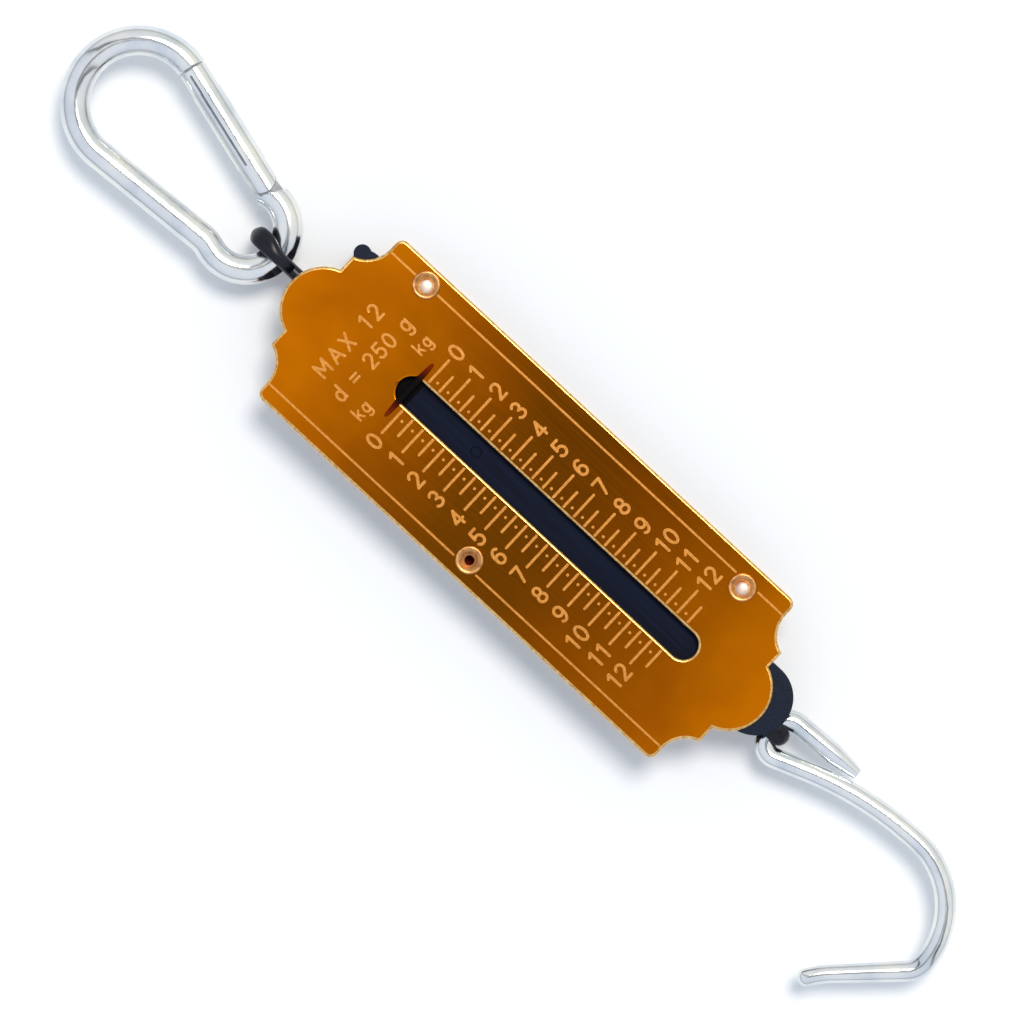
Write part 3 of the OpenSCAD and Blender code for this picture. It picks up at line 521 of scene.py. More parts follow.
def piece(name, bm, material, body, stands_for=(), sharp=38, edge_material=None):
    """A finished mesh in the scene, riding on a body and standing for CAD nodes."""
    bmesh.ops.recalc_face_normals(bm, faces=bm.faces)
    for face in bm.faces:
        face.smooth = True
    for edge in bm.edges:
        if edge.calc_face_angle(math.pi) > math.radians(sharp):
            edge.smooth = False
    mesh = bpy.data.meshes.new(name)
    bm.to_mesh(mesh)
    bm.free()
    mesh.materials.append(material)
    if edge_material:
        mesh.materials.append(edge_material)
    item = in_scene(name, mesh)
    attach(item, body)
    if stands_for:
        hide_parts(*stands_for)
    return item


def wire_line(steps, at, heading, radius, chord):
    """Points (x, y, radius) of a wire's middle line, from straight runs (0, length, end radius) and bends
    (radius, angle), to the left where the angle is positive. Chord is the longest step in a bend."""
    x, y = at
    line = [(x, y, radius)]
    for step in steps:
        a = math.radians(heading)
        if step[0] == 0:
            length, end = step[1], step[2] if len(step) > 2 else radius
            n = max(1, math.ceil(length / 4))
            line += [(x + length * k / n * math.cos(a), y + length * k / n * math.sin(a),
                      radius + (end - radius) * k / n) for k in range(1, n + 1)]
        else:
            bend, angle = math.copysign(step[0], step[1]), step[1]
            cx, cy = x - bend * math.sin(a), y + bend * math.cos(a)
            n = max(2, math.ceil(abs(angle) / 6), math.ceil(abs(bend * math.radians(angle)) / chord))
            turns = [math.radians(heading + angle * k / n) for k in range(1, n + 1)]
            line += [(cx + bend * math.sin(h), cy - bend * math.cos(h), radius) for h in turns]
            heading += angle
        x, y, radius = line[-1]
    return line


def flat_wire(bm, line, ends, sides):
    """A wire that lies in the middle plane between the plates."""
    return swept(bm, [(p[0], p[1], MID_Z) for p in line], [p[2] for p in line], sides, ends)


# Plates and scale

def plate_shapes():
    """The shapes that make the plate's outline: body, stepped shoulders, coves and the two noses."""
    shapes = [rounded(-PLATE_W / 2, PLATE_W / 2, -SHOULDER_Y, SHOULDER_Y, CORNER_R),
              rectangle(-STEP_X, STEP_X, -STEP_Y, STEP_Y)]
    run, rise = COVE_X - STEP_X, STEP_Y - SHOULDER_Y
    cove_r = (run * run + rise * rise) / (2 * rise)
    sweep = math.asin(run / cove_r)
    cove = [(COVE_X - cove_r * math.sin(sweep * k / 10),
             SHOULDER_Y + cove_r - cove_r * math.cos(sweep * k / 10)) for k in range(11)]
    cove += [(STEP_X - 0.5, STEP_Y), (STEP_X - 0.5, SHOULDER_Y - 0.5), (COVE_X, SHOULDER_Y - 0.5)]
    for sy in (-1, 1):
        shapes.append(circle(NOSE_R, 0, sy * (TIP_Y - NOSE_R), 96))
        for sx in (-1, 1):
            shapes.append([(sx * x, sy * y) for x, y in cove][::sx * sy])
    return shapes


def plates():
    """Both plates, punched from sheet; only the dial plate has the slot."""
    slot = rounded(-SLOT_W / 2, SLOT_W / 2, SLOT_BOTTOM_Y, SLOT_TOP_Y, SLOT_W / 2 - 0.001, 16)
    holes = [circle(RIVET_R + CLEARANCE, x, y, 48) for x, y in RIVETS]
    bm = bmesh.new()
    slab(bm, outline(plate_shapes(), [slot, *holes]), FACE_Z, CASE_T, SHARP_R, ROLLED_R, 4, rim=1)
    for face in bm.faces:       # the slot's upper arc keeps the dyed colour instead of the bare edge: painted shade that darkens that arc
        spot = face.calc_center_median() / MM
        if abs(spot.x) < SLOT_W / 2 + 0.6 and SLOT_TOP_Y - SLOT_W / 2 - 0.1 < spot.y < SLOT_TOP_Y + 0.6:
            face.material_index = 0
    piece("dial_plate", bm, GOLD, "housing", ["front_plate"], edge_material=BARE_EDGE)
    bm = bmesh.new()
    sinks = [circle(RIVET_R + 0.5, x, y, 48) for x, y in RIVETS]
    slab(bm, outline(plate_shapes(), sinks), 0, PLATE_T, ROLLED_R, SHARP_R, 4, rim=1)
    piece("back_plate", bm, GOLD, "housing", ["rear_plate"], edge_material=BARE_EDGE)


def bow(x, y, rx, ry, first, last):
    """Part of an ellipse, as the points of a pen stroke."""
    n = max(4, math.ceil(abs(last - first) / 20))
    turns = [math.radians(first + (last - first) * k / n) for k in range(n + 1)]
    return [(x + rx * math.cos(a), y + ry * math.sin(a)) for a in turns]


# Each figure's width and pen strokes, for a height of 1
FIGURES = {
    "0": (0.62, [bow(0.31, 0.5, 0.23, 0.42, 0, 360)]),
    "1": (0.46, [[(0.1, 0.76), (0.29, 0.92), (0.29, 0.08)]]),
    "2": (0.62, [bow(0.3, 0.68, 0.22, 0.24, 165, -35) + [(0.09, 0.08), (0.54, 0.08)]]),
    "3": (0.62, [bow(0.29, 0.71, 0.2, 0.21, 150, -90), bow(0.29, 0.29, 0.24, 0.21, 90, -150)]),
    "4": (0.64, [[(0.43, 0.08), (0.43, 0.92), (0.07, 0.32), (0.57, 0.32)]]),
    "5": (0.62, [[(0.5, 0.92), (0.15, 0.92), (0.11, 0.51)] + bow(0.29, 0.34, 0.24, 0.26, 125, -150)]),
    "6": (0.62, [bow(0.35, 0.5, 0.26, 0.42, 55, 200), bow(0.31, 0.33, 0.22, 0.25, 0, 360)]),
    "7": (0.6, [[(0.07, 0.92), (0.53, 0.92), (0.25, 0.08)]]),
    "8": (0.62, [bow(0.31, 0.71, 0.19, 0.21, 0, 360), bow(0.31, 0.3, 0.23, 0.22, 0, 360)]),
    "9": (0.62, [bow(0.27, 0.5, 0.26, 0.42, -125, 20), bow(0.31, 0.67, 0.22, 0.25, 0, 360)]),
    "k": (0.56, [[(0.09, 0.08), (0.09, 0.98)], [(0.46, 0.67), (0.1, 0.33)], [(0.26, 0.44), (0.48, 0.08)]]),
    "g": (0.6, [bow(0.28, 0.37, 0.2, 0.28, 0, 360),
                [(0.49, 0.66), (0.49, -0.04)] + bow(0.29, -0.04, 0.2, 0.19, -20, -150)]),
    "d": (0.6, [bow(0.29, 0.36, 0.2, 0.28, 0, 360), [(0.5, 0.08), (0.5, 0.98)]]),
    "M": (0.8, [[(0.09, 0.08), (0.09, 0.92), (0.4, 0.32), (0.71, 0.92), (0.71, 0.08)]]),
    "A": (0.7, [[(0.06, 0.08), (0.35, 0.92), (0.64, 0.08)], [(0.16, 0.34), (0.54, 0.34)]]),
    "X": (0.64, [[(0.08, 0.08), (0.56, 0.92)], [(0.08, 0.92), (0.56, 0.08)]]),
    "=": (0.62, [[(0.09, 0.36), (0.53, 0.36)], [(0.09, 0.62), (0.53, 0.62)]]),
    " ": (0.36, []),
}


def ccw(shape):
    """A flat shape's points in anticlockwise order."""
    around = sum(p[0] * q[1] - q[0] * p[1] for p, q in zip(shape, shape[1:] + shape[:1]))
    return shape if around > 0 else shape[::-1]


def lettering(bm, words, x, y, height, align, pen=0.155, gap=0.13):
    """Figures and unit signs in round pen strokes, printed at a height in millimetres, centred on y."""
    width = sum(FIGURES[c][0] + gap for c in words) - gap
    left = x - width * height * {"LEFT": 0, "CENTER": 0.5, "RIGHT": 1}[align]
    for c in words:
        wide, strokes = FIGURES[c]
        shapes = []
        for stroke in strokes:
            spots = [Vector((left + px * height, y + (py - 0.5) * height)) for px, py in stroke]
            shapes += [circle(pen * height / 2, p.x, p.y, 10) for p in spots]
            for p, q in zip(spots, spots[1:]):
                side = (q - p).orthogonal().normalized() * pen * height / 2
                shapes.append([p - side, p + side, q + side, q - side])
        if shapes:
            slab(bm, outline([ccw(shape) for shape in shapes]), CASE_T, CASE_T + PRINT_T)
        left += (wide + gap) * height


def mark(bm, x0, x1, y0, y1):
    """A printed line or dot, with its corners blunted by the screen."""
    slab(bm, [[Vector(p) for p in rounded(x0, x1, y0, y1, min(x1 - x0, y1 - y0) * 0.45, 2)]],
         CASE_T, CASE_T + PRINT_T)


def scale_print():
    """The printed scale: border lines, kilogram and half-kilogram marks, quarter dots and figures."""
    bm = bmesh.new()
    border_end = SHOULDER_Y - 0.6
    for x in BORDERS_X:
        stops = [-border_end, border_end]
        for rivet_x, rivet_y in RIVETS:
            if abs(rivet_x - x) < RIVET_RIM_R:
                stops += [rivet_y - RIVET_RIM_R, rivet_y + RIVET_RIM_R]
        stops.sort()
        for low, high in zip(stops[::2], stops[1::2]):
            mark(bm, x - BORDER_W / 2, x + BORDER_W / 2, low, high)
    for quarter in range(4 * 12 + 3):
        y = SCALE_ZERO_Y - KILO_STEP * quarter / 4
        spans, thick = (KILO_MARK, QUARTER_DOT, HALF_KILO_MARK, QUARTER_DOT)[quarter % 4]
        for x0, x1 in spans:
            mark(bm, x0, x1, y - thick, y + thick)
    for kilos in range(13):
        y = SCALE_ZERO_Y - KILO_STEP * kilos
        lettering(bm, str(kilos), -10.8, y, 3.8, "RIGHT")
        lettering(bm, str(kilos), 10.5, y, 3.8, "LEFT")
    for x in (-9.2, 8.3):
        lettering(bm, "kg", x, 35.4, 2.9, "CENTER")
    lettering(bm, "MAX 12", -1.0, 46.6, 3.7, "CENTER", pen=0.145, gap=0.24)
    lettering(bm, "d = 250 g", -0.5, 40.8, 3.6, "CENTER", pen=0.145)
    piece("scale_print", bm, INK, "housing")


# Black core

def mouldings():
    """The two black halves of the core, with a soft line where they meet and the lip at the lower end."""
    rail_x = PLATE_W / 2 - RAIL_INSET
    left, right = CORE_X - CORE_W / 2, CORE_X + CORE_W / 2
    body = [rounded(-rail_x, rail_x, -RAIL_END_Y, RAIL_END_Y, CORE_R),
            rounded(left, right, CORE_BOTTOM_Y, CORE_TOP_Y, CORE_R),
            circle(CROWN_R, CROWN_X, CROWN_Y - CROWN_R, 64),
            circle(EAR_R, right - EAR_R, CORE_TOP_Y + EAR_RISE - EAR_R, 40),
            rectangle(CROWN_X - CROWN_R, CROWN_X + CROWN_R, CORE_TOP_Y - OVERLAP_Y, CROWN_Y - CROWN_R)]
    lip = [circle(LIP_R, LIP_X, LIP_Y + LIP_R, 96),
           rectangle(LIP_X - LIP_R, LIP_X + LIP_R, LIP_Y + LIP_R, CORE_BOTTOM_Y + OVERLAP_Y)]
    holes = [circle(RIVET_R + CLEARANCE, x, y, 32) for x, y in RIVETS]
    channel = rectangle(-CHANNEL_W / 2, CHANNEL_W / 2, -BEYOND_Y, CHANNEL_TOP_Y)
    eye_x, eye_room = TOP_EYE[0], TOP_EYE[4] / 2 + CLEARANCE
    eye_seat = rectangle(eye_x - eye_room, eye_x + eye_room, EYE_SEAT_Y, BEYOND_Y)
    foot_slot = rectangle(-FOOT_SLOT_W / 2, FOOT_SLOT_W / 2, FOOT_SLOT_BOTTOM_Y, FOOT_SLOT_TOP_Y)
    plain, seated = outline(body, [*holes, channel]), outline(body, [*holes, channel, eye_seat])
    seam_r, face_r = 0.18, 0.22
    bm = bmesh.new()
    slab(bm, plain, PLATE_T, MID_Z - EYE_SEAT_HALF_H)
    slab(bm, seated, MID_Z - EYE_SEAT_HALF_H, MID_Z, high=seam_r, steps=2)
    piece("rear_moulding", bm, BLACK_ABS, "housing", ["rear_frame"])
    bm = bmesh.new()
    slab(bm, seated, MID_Z, MID_Z + EYE_SEAT_HALF_H, low=seam_r, steps=2)
    slab(bm, plain, MID_Z + EYE_SEAT_HALF_H, LIP_Z)
    slab(bm, outline(body + lip, [*holes, foot_slot]), LIP_Z, FACE_Z, high=face_r)
    piece("front_moulding", bm, BLACK_ABS, "housing", ["front_frame"])


def rivets():
    """Blind rivets: countersunk behind, with a dished head on the dial side. Two keep their broken stem."""
    shells, stems = bmesh.new(), bmesh.new()
    rim = RIVET_RIM_H / 2
    profile = [(RIVET_RIM_R - 0.05, 0.0), (RIVET_RIM_R, 0.06), (RIVET_R, PLATE_T),
               (RIVET_R, CASE_T + CLEARANCE), (RIVET_RIM_R - rim, CASE_T)]
    for k in range(9):
        a = math.radians(-90 + 22.5 * k)
        profile.append((RIVET_RIM_R - rim + rim * math.cos(a), CASE_T + rim + rim * math.sin(a)))
    profile += [(r, CASE_T + z) for r, z in RIVET_DISH]
    profile.append((RIVET_HOLE_R, CASE_T + RIVET_RIM_H - RIVET_HOLE_L))
    for x, y in RIVETS:
        turned(shells, profile, x, y)
        if x > 0:
            turned(stems, [(r, CASE_T + z) for r, z in RIVET_STEM], x + STEM_OFF_X, y + STEM_OFF_Y, 32)
    for face in shells.faces:       # the open hole is rusted
        spot = face.calc_center_median() / MM
        deep = PLATE_T < spot.z < CASE_T - 0.3
        if deep and (spot.xy - Vector(RIVETS[2])).length < RIVET_HOLE_R + 0.05:
            face.material_index = 1
    piece("rivet_shells", shells, RIVET_SHELL, "housing", ["rivets"],
          edge_material=RUSTED_HOLE)
    piece("rivet_stems", stems, RIVET_BREAK, "housing")


# Eyes, draw bar and pointer

def across(x):
    """Flat shapes drawn in (y, z) and given thickness along X, from x."""
    return Matrix(((0, 0, 1, x), (1, 0, 0, 0), (0, 1, 0, 0), (0, 0, 0, 1)))


def progress(value, start, span):
    """How far a value is along a span, from 0 to 1."""
    return min(1.0, max(0.0, (value - start) / span))


def hanger_eye():
    """The forged eye that the snap hook hangs in, with its root seated in the core."""
    x, y, hole, outer, thick = TOP_EYE
    neck_end_y, knob_l, crown_y, crown_l = 67.5, 4.5, 73.2, 2.3
    root = rectangle(EYE_SEAT_Y, y, MID_Z - EYE_ROOT_HALF_H, MID_Z + EYE_ROOT_HALF_H)
    loops = outline([circle(outer, y, MID_Z, 96), root],
                    [circle(hole, y, MID_Z, 96), circle(PIN_HOLE_R, TOP_EYE_PIN_Y, MID_Z, 32)])
    bm = bmesh.new()
    slab(bm, loops, 0, thick, 1.15, 1.15, steps=8, place=across(x - thick / 2), tall=1.5)
    for v in bm.verts:      # forged to a slim neck, and to a round knob that leans to the right
        knob = progress(v.co.y / MM, neck_end_y, knob_l)
        knob = knob * knob * (3 - 2 * knob)
        crown = progress(v.co.y / MM, crown_y, crown_l)
        wide = (0.74 + 0.36 * knob) * math.sqrt(1 - 0.8 * crown * crown)
        v.co.x = (x - 0.25 + (v.co.x / MM - x) * wide + 0.6 * knob) * MM
    piece("hanger_eye", bm, ENAMEL, "housing", ["top_eye"], 45)


def slide_bar():
    """The stamped draw bar, with two ears bent down beside the pull eye."""
    x, thick = DRAW_EYE[0], DRAW_EYE[4]
    bm = bmesh.new()
    holes = [circle(PIN_HOLE_R, 0, SPRING_PIN_Y, 32), circle(POINTER_HOLE_R, 0, POINTER_RIVET_Y, 32)]
    slab(bm, outline([rectangle(-BAR_W / 2, BAR_W / 2, BAR_BOTTOM_Y, BAR_TOP_Y)], holes),
         BAR_Z, BAR_Z + BAR_T, 0.12, 0.2)
    low, high = BAR_Z - BAR_EAR_DROP, BAR_Z + BAR_EAR_RISE
    ear = outline([rounded(BAR_BOTTOM_Y, BAR_BOTTOM_Y + BAR_EAR_L, low, high, 0.8)],
                  [circle(EYE_PIN_HOLE_R, EYE_PIN_Y, MID_Z, 32)])
    room = thick / 2 + 0.06         # the ears stand just clear of the eye
    for ear_x in (x - room - BAR_EAR_T, x + room):
        slab(bm, ear, 0, BAR_EAR_T, 0.12, 0.12, steps=2, place=across(ear_x))
    piece("slide_bar", bm, BLACKENED, "draw", ["draw_bar"])


def pull_eye():
    """The eye at the bar's lower end that the load hook hangs in."""
    x, y, hole, outer, thick = DRAW_EYE
    shank, round_from, flare_y, flare_l = outer - 0.6, 1.3, 62.0, 2.0
    loops = outline([circle(outer, y, MID_Z, 96),
                     rectangle(y, BAR_BOTTOM_Y + BAR_EAR_L, MID_Z - shank, MID_Z + shank)],
                    [circle(hole, y, MID_Z, 64), circle(EYE_PIN_HOLE_R, EYE_PIN_Y, MID_Z, 32)])
    bm = bmesh.new()
    slab(bm, loops, 0, thick, 0.54, 0.54, steps=8, place=across(x - thick / 2), tall=3.2)
    for v in bm.verts:      # the free end is rounded, and a little wider than the shank
        end = progress(-v.co.y / MM, round_from - y, outer - round_from)
        wide = (1 + 0.12 * progress(-v.co.y / MM, flare_y, flare_l)) * math.sqrt(1 - 0.85 * end * end)
        v.co.x = (x + (v.co.x / MM - x) * wide) * MM
    piece("pull_eye", bm, ENAMEL, "draw", ["draw_eye"], 45)


def pointer():
    """The pointer: a foot riveted to the bar, a neck up through the slot, and the lacquered blade."""
    foot_z, neck_z, blade_z, top_z = 11.0, 11.4, 13.35, 13.95
    foot = rectangle(-3.1, 3.1, POINTER_Y - 1.5, POINTER_Y + 5.9)
    neck = rounded(-2.4, 2.4, POINTER_Y - 0.7, POINTER_Y + 0.7, 0.3, 3)
    taper = [(2.6, 0.68), (6.6, 0.36), (7.0, 0.1)]      # the blade's x and half width, to both sides
    lower = [(-x, -half) for x, half in taper[::-1]] + [(x, -half) for x, half in taper]
    blade = [Vector((x, POINTER_Y + y)) for x, y in lower + [(-x, -y) for x, y in lower]]
    bm = bmesh.new()
    slab(bm, outline([foot], [circle(POINTER_HOLE_R, 0, POINTER_RIVET_Y, 32)]),
         foot_z, foot_z + 0.5, 0.05, 0.1, 2)
    slab(bm, outline([neck]), neck_z, blade_z + 0.15)
    slab(bm, [blade], blade_z, top_z, 0.08, 0.16, 3)
    piece("pointer_blade", bm, RED, "draw", ["pointer"])


def coil_spring():
    """The extension spring that the draw bar pulls on: an upper hook, the coil and a lower hook of one wire.
    """
    def eased(a, b, c, d, u):
        return (1 - u) ** 3 * a + 3 * (1 - u) ** 2 * u * b + 3 * (1 - u) * u * u * c + u ** 3 * d

    def round_hook(a):
        return middle + END_HOOK_R * Vector((math.cos(a), math.sin(a), 0))

    lead_steps, hook_steps, per_turn, pull = 14, 36, 24, 2.4
    middle = Vector((0, COIL_L / 2 + END_HOOK_L, 0))
    start, wrap = math.radians(200), 290        # an end hook's bend: where it starts, and its degrees
    leave = Vector((0, COIL_L / 2, -COIL_R))
    upper = [eased(leave, leave - Vector((pull, 0, 0)),
                   round_hook(start) - pull * Vector((math.sin(start), -math.cos(start), 0)),
                   round_hook(start), k / lead_steps) for k in range(1, lead_steps + 1)]
    upper += [round_hook(start - math.radians(wrap * k / hook_steps)) for k in range(1, hook_steps + 1)]
    lower = [Vector((-p.x, -p.y, p.z)) for p in reversed(upper)]
    coil = []
    for i in range(per_turn * COIL_TURNS + 1):
        a = math.radians(-90 - 360 / per_turn * i)
        coil.append(Vector((COIL_R * math.cos(a), COIL_L * (i / (per_turn * COIL_TURNS) - 0.5),
                            COIL_R * math.sin(a))))
    shift = Vector((0, (ANCHOR_Y + SPRING_PIN_Y) / 2, SPRING_Z))
    path = [p + shift for p in lower + coil + upper]
    bm = bmesh.new()
    swept(bm, path, [SPRING_WIRE / 2] * len(path), 10, (0.15, 0.15))
    spring = piece("coil_spring", bm, SPRING_STEEL, "housing", ["spring"])
    spring.parent = None
    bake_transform(spring)


# Hooks

def wire_hook():
    """The load hook: one wire through the pull eye, with its cut end beside the shank, a bowl and a tip."""
    loop_r, loop_top_l, end_l, taper_l, splay, lean = 2.8, 2.75, 15.4, 6.0, 2.6, 21.0
    x, y = DRAW_EYE[:2]
    out, along = math.cos(math.radians(splay)), math.sin(math.radians(splay))
    start = (x + loop_top_l / 2 + loop_r * out + end_l * along, y - loop_r * (1 - along) - end_l * out)
    cut_end = [(0, taper_l, HOOK_WIRE / 2), (0, end_l - taper_l)]
    loop = [(loop_r, 90 - splay), (0, loop_top_l), (loop_r, 90 + lean)]
    shank = [(0, 6.6), (72.0, -lean)]
    bowl = [(17.1, -88.0), (5.0, -47.2)]
    tip = [(0, 14.8, 1.8), (22.0, 11.0), (0, 2.4)]
    line = wire_line(cut_end + loop + shank + bowl + tip, start, 90 + splay, radius=1.2, chord=0.9)
    bm = bmesh.new()
    flat_wire(bm, line, (0.25, 1.6), 32)
    piece("wire_hook", bm, ZINC, "hook", ["load_hook"])


def bearing(a):
    """The unit vector at an angle in degrees."""
    return Vector((math.cos(math.radians(a)), math.sin(math.radians(a))))


def snap_values():
    """The heading of the jog, and the angle and length of the gate from its hinge to its latch."""
    jog_heading = 90 + SNAP_LEAN - SNAP_JOG
    right = bearing(SNAP_LEAN)
    back_start = SMALL_C + (SMALL_R + JOG_R) * bearing(jog_heading + 90) + JOG_R * right
    big_c = back_start + BACK_L * bearing(90 + SNAP_LEAN) + BIG_R * right
    reach = big_c + BIG_R * bearing(-LATCH_AT) - HINGE
    return jog_heading, math.degrees(math.atan2(reach.y, reach.x)), reach.length - GATE_SHORTER


def local(a):
    """Flat shapes drawn with the hinge at (0, 0), turned by an angle, in the hook's own plane."""
    return Matrix.Translation((HINGE.x, HINGE.y, 0)) @ Matrix.Rotation(math.radians(a), 4, "Z")


def cut(bm, rings, at, facing):
    """Takes off what lies beyond an upright plane from a wire's first or last rings, and closes the end."""
    verts = dict.fromkeys(v for ring in rings for v in ring)
    faces = [f for f in bm.faces if all(v in verts for v in f.verts)]
    edges = dict.fromkeys(e for f in faces for e in f.edges)
    result = bmesh.ops.bisect_plane(bm, geom=[*verts, *edges, *faces], plane_co=Vector((*at, MID_Z)) * MM,
                                    plane_no=Vector((*facing, 0)), clear_outer=True)
    open_edges = [part for part in result["geom_cut"] if isinstance(part, bmesh.types.BMEdge)]
    closed = bmesh.ops.holes_fill(bm, edges=open_edges, sides=0)["faces"]
    rim = [e for f in closed for e in f.edges]
    bmesh.ops.bevel(bm, geom=rim, offset=0.3 * MM, segments=3, affect="EDGES", profile=0.5)


def snap_ring():
    """The snap hook's body: 6 mm wire with a small and a big bend, cut at the gate to tongues with pins."""
    jog_heading, gate_a, gate_l = snap_values()
    line = wire_line([(SMALL_R, jog_heading - 270 - SMALL_FROM), (JOG_R, SNAP_JOG), (0, BACK_L),
                      (BIG_R, -(180 + SNAP_LEAN + LATCH_AT + PAST_LATCH))],
                     tuple(SMALL_C + SMALL_R * bearing(SMALL_FROM)), SMALL_FROM - 90,
                     radius=SNAP_WIRE / 2, chord=0.7)
    bm = bmesh.new()
    rings = flat_wire(bm, line, (0, 0), 40)
    latch_cut, end_rings = gate_l + LATCH_GAP, 14
    cut(bm, rings[-end_rings:], HINGE + latch_cut * bearing(gate_a), -bearing(gate_a))
    cut(bm, rings[:end_rings], HINGE - HINGE_CUT * bearing(HINGE_CUT_AT), bearing(HINGE_CUT_AT))
    # The hinge tongue, with the hole for its pin, and its root that runs back into the small bend
    low, high, tongue_r, hole_r, root_at = MID_Z - 1, MID_Z + 1, 2.5, 1.06, -101
    slab(bm, outline([circle(tongue_r, n=48)], [circle(hole_r, n=32)]), low, high, 0.1, 0.1, 2, local(0))
    slab(bm, outline([rectangle(1.2, 5.8, -2.3, 2.3)], [circle(tongue_r - 0.01, n=48)]),
         low, high, place=local(root_at))
    # The latch tongue; its notch is open to one side, and takes the gate's latch pin
    notch, notch_r = gate_l - 2.4, 1.0
    slab(bm, outline([rounded(latch_cut - 5.0, latch_cut + 1.5, -tongue_r, 1.9, 0.5, 4)],
                     [circle(notch_r, notch, 0, 32), rectangle(notch - notch_r, notch + notch_r, 0, 6)]),
         low, high, 0.1, 0.1, 2, local(gate_a))
    piece("snap_ring", bm, ZINC, "snap", ["snap_body"], 40)


def gate_section(half, low, groove):
    """Half the section of the gate's rod, as points (y, z): flat at z = low, and no wider than half."""
    wide = min(half, math.sqrt(GATE_R ** 2 - low * low))
    section = [(wide, low)]
    for part in GATE_SHARES:
        pressed = max(0.0, 1 - abs(part - GATE_LINE) / GATE_LINE_HALF) if groove else 0
        section.append((wide * part, math.sqrt(GATE_R ** 2 - (wide * part) ** 2) - GATE_LINE_DEPTH * pressed))
    return section + [(-wide, low)]


def gate_length(bm, stations, place):
    """A length of the gate through sections (x, half width, low, groove), in two mirrored halves."""
    for flip in (1, -1):
        below = None
        for x, half, low, groove in stations:
            groove = groove and flip > 0
            ring = [bm.verts.new(place @ Vector((x, y, MID_Z + flip * z)) * MM)
                    for y, z in gate_section(half, low, groove)]
            if below:
                for k, v in enumerate(ring):
                    j = (k + 1) % len(ring)
                    face = bm.faces.new((below[k], below[j], ring[j], v))
                    # The pressed line's faces take the grey of painted shade and reflection
                    face.material_index = int(groove and k in GATE_LINE_PAINTED_FACES)
            else:
                bm.faces.new(ring)
            below = ring
        bm.faces.new(below)


def snap_gate():
    """The sprung gate: a round rod, forked over the tongues at both ends and rounded at the hinge, with a
    pressed line along its dial side, whose faces carry painted shade and reflection."""
    _, gate_a, gate_l = snap_values()
    place = local(gate_a)
    bm = bmesh.new()
    latch_fork = gate_l + LATCH_GAP - LATCH_FORK_L
    turns = [math.radians(a) for a in (4, 12, 22, 34, 48, 64, 90)]
    hinge_end = [(-GATE_R * math.cos(a), GATE_R * math.sin(a) + 0.02, FORK_Z, False) for a in turns]
    gate_length(bm, hinge_end + [(HINGE_FORK_L, GATE_R, FORK_Z, False)], place)
    gate_length(bm, [(HINGE_FORK_L, GATE_R, 0, False), (HINGE_FORK_L + 0.2, GATE_R, 0, False),
                     (HINGE_FORK_L + 0.5, GATE_R, 0, True), (latch_fork, GATE_R, 0, True)], place)
    gate_length(bm, [(latch_fork, GATE_R, FORK_Z, True), (gate_l - 1.2, GATE_R, FORK_Z, True),
                     (gate_l - 0.9, GATE_R, FORK_Z, False), (gate_l - 0.3, GATE_R, FORK_Z, False),
                     (gate_l, GATE_R - 0.28, FORK_Z, False)], place)
    bmesh.ops.remove_doubles(bm, verts=bm.verts, dist=0.000002)
    bm.normal_update()
    # Where the rod is whole, its two halves share a flat middle that is taken out
    middle = [f for f in bm.faces
              if abs(f.normal.z) > 0.99 and abs(f.calc_center_median().z - MID_Z * MM) < 1e-6]
    bmesh.ops.delete(bm, geom=middle, context="FACES_ONLY")
    piece("snap_gate", bm, ZINC, "snap_gate", ["gate"], 30, PAINTED_LINE_SHADE)


plates()
scale_print()
mouldings()
rivets()
hanger_eye()
slide_bar()
pull_eye()
pointer()
coil_spring()
wire_hook()
snap_ring()
snap_gate()

# Small parts that are shown as the CAD model has them
CAD_FINISHES = {
    PIN_STEEL: ("top_eye_pin", "spring_anchor_pin", "pointer_rivet", "draw_eye_pin", "gate_pin", "latch_pin",
                "gate_plunger"),
    BLACKENED: ("spring_pin",),
    SPRING_STEEL: ("gate_spring",),
}
for finish, nodes in CAD_FINISHES.items():
    for node in nodes:
        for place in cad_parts[node].material_slots:
            place.material = finish


# Table, light and camera

def ray_kinds(tree):
    """Two sockets: 1 for what the camera sees itself, and 1 for what shiny or clear things show it."""
    path = add(tree, "ShaderNodeLightPath").outputs
    shiny = add(tree, "ShaderNodeMath", {0: path["Is Glossy Ray"], 1: path["Is Transmission Ray"]},
                operation="MAXIMUM")
    return path["Is Camera Ray"], shiny.outputs[0]


def white_table():
    """A matt white table. What the camera and bright metal see of it is nearly white; its shadow stays."""
    material, tree = new_material("white_paper")
    matt = add(tree, "ShaderNodeBsdfDiffuse", {"Color": linear("EDEEF0")})
    seen, shiny = ray_kinds(tree)
    look = add(tree, "ShaderNodeMath", {0: seen, 1: shiny}, operation="MAXIMUM")
    lift = add(tree, "ShaderNodeMath", {0: look.outputs[0], 1: 0.16}, operation="MULTIPLY")
    glow = add(tree, "ShaderNodeEmission", {"Color": (1, 1, 1, 1), "Strength": lift.outputs[0]})
    both = add(tree, "ShaderNodeAddShader", {0: matt.outputs[0], 1: glow.outputs[0]})
    add(tree, "ShaderNodeOutputMaterial", {"Surface": both.outputs[0]})
    mesh = bpy.data.meshes.new("table")
    mesh.from_pydata([(-3, -3, 0), (3, -3, 0), (3, 3, 0), (-3, 3, 0)], [], [(0, 1, 2, 3)])
    mesh.materials.append(material)
    table = in_scene("table", mesh)
    table.location.z = -0.0002      # just clear of the lowest parts


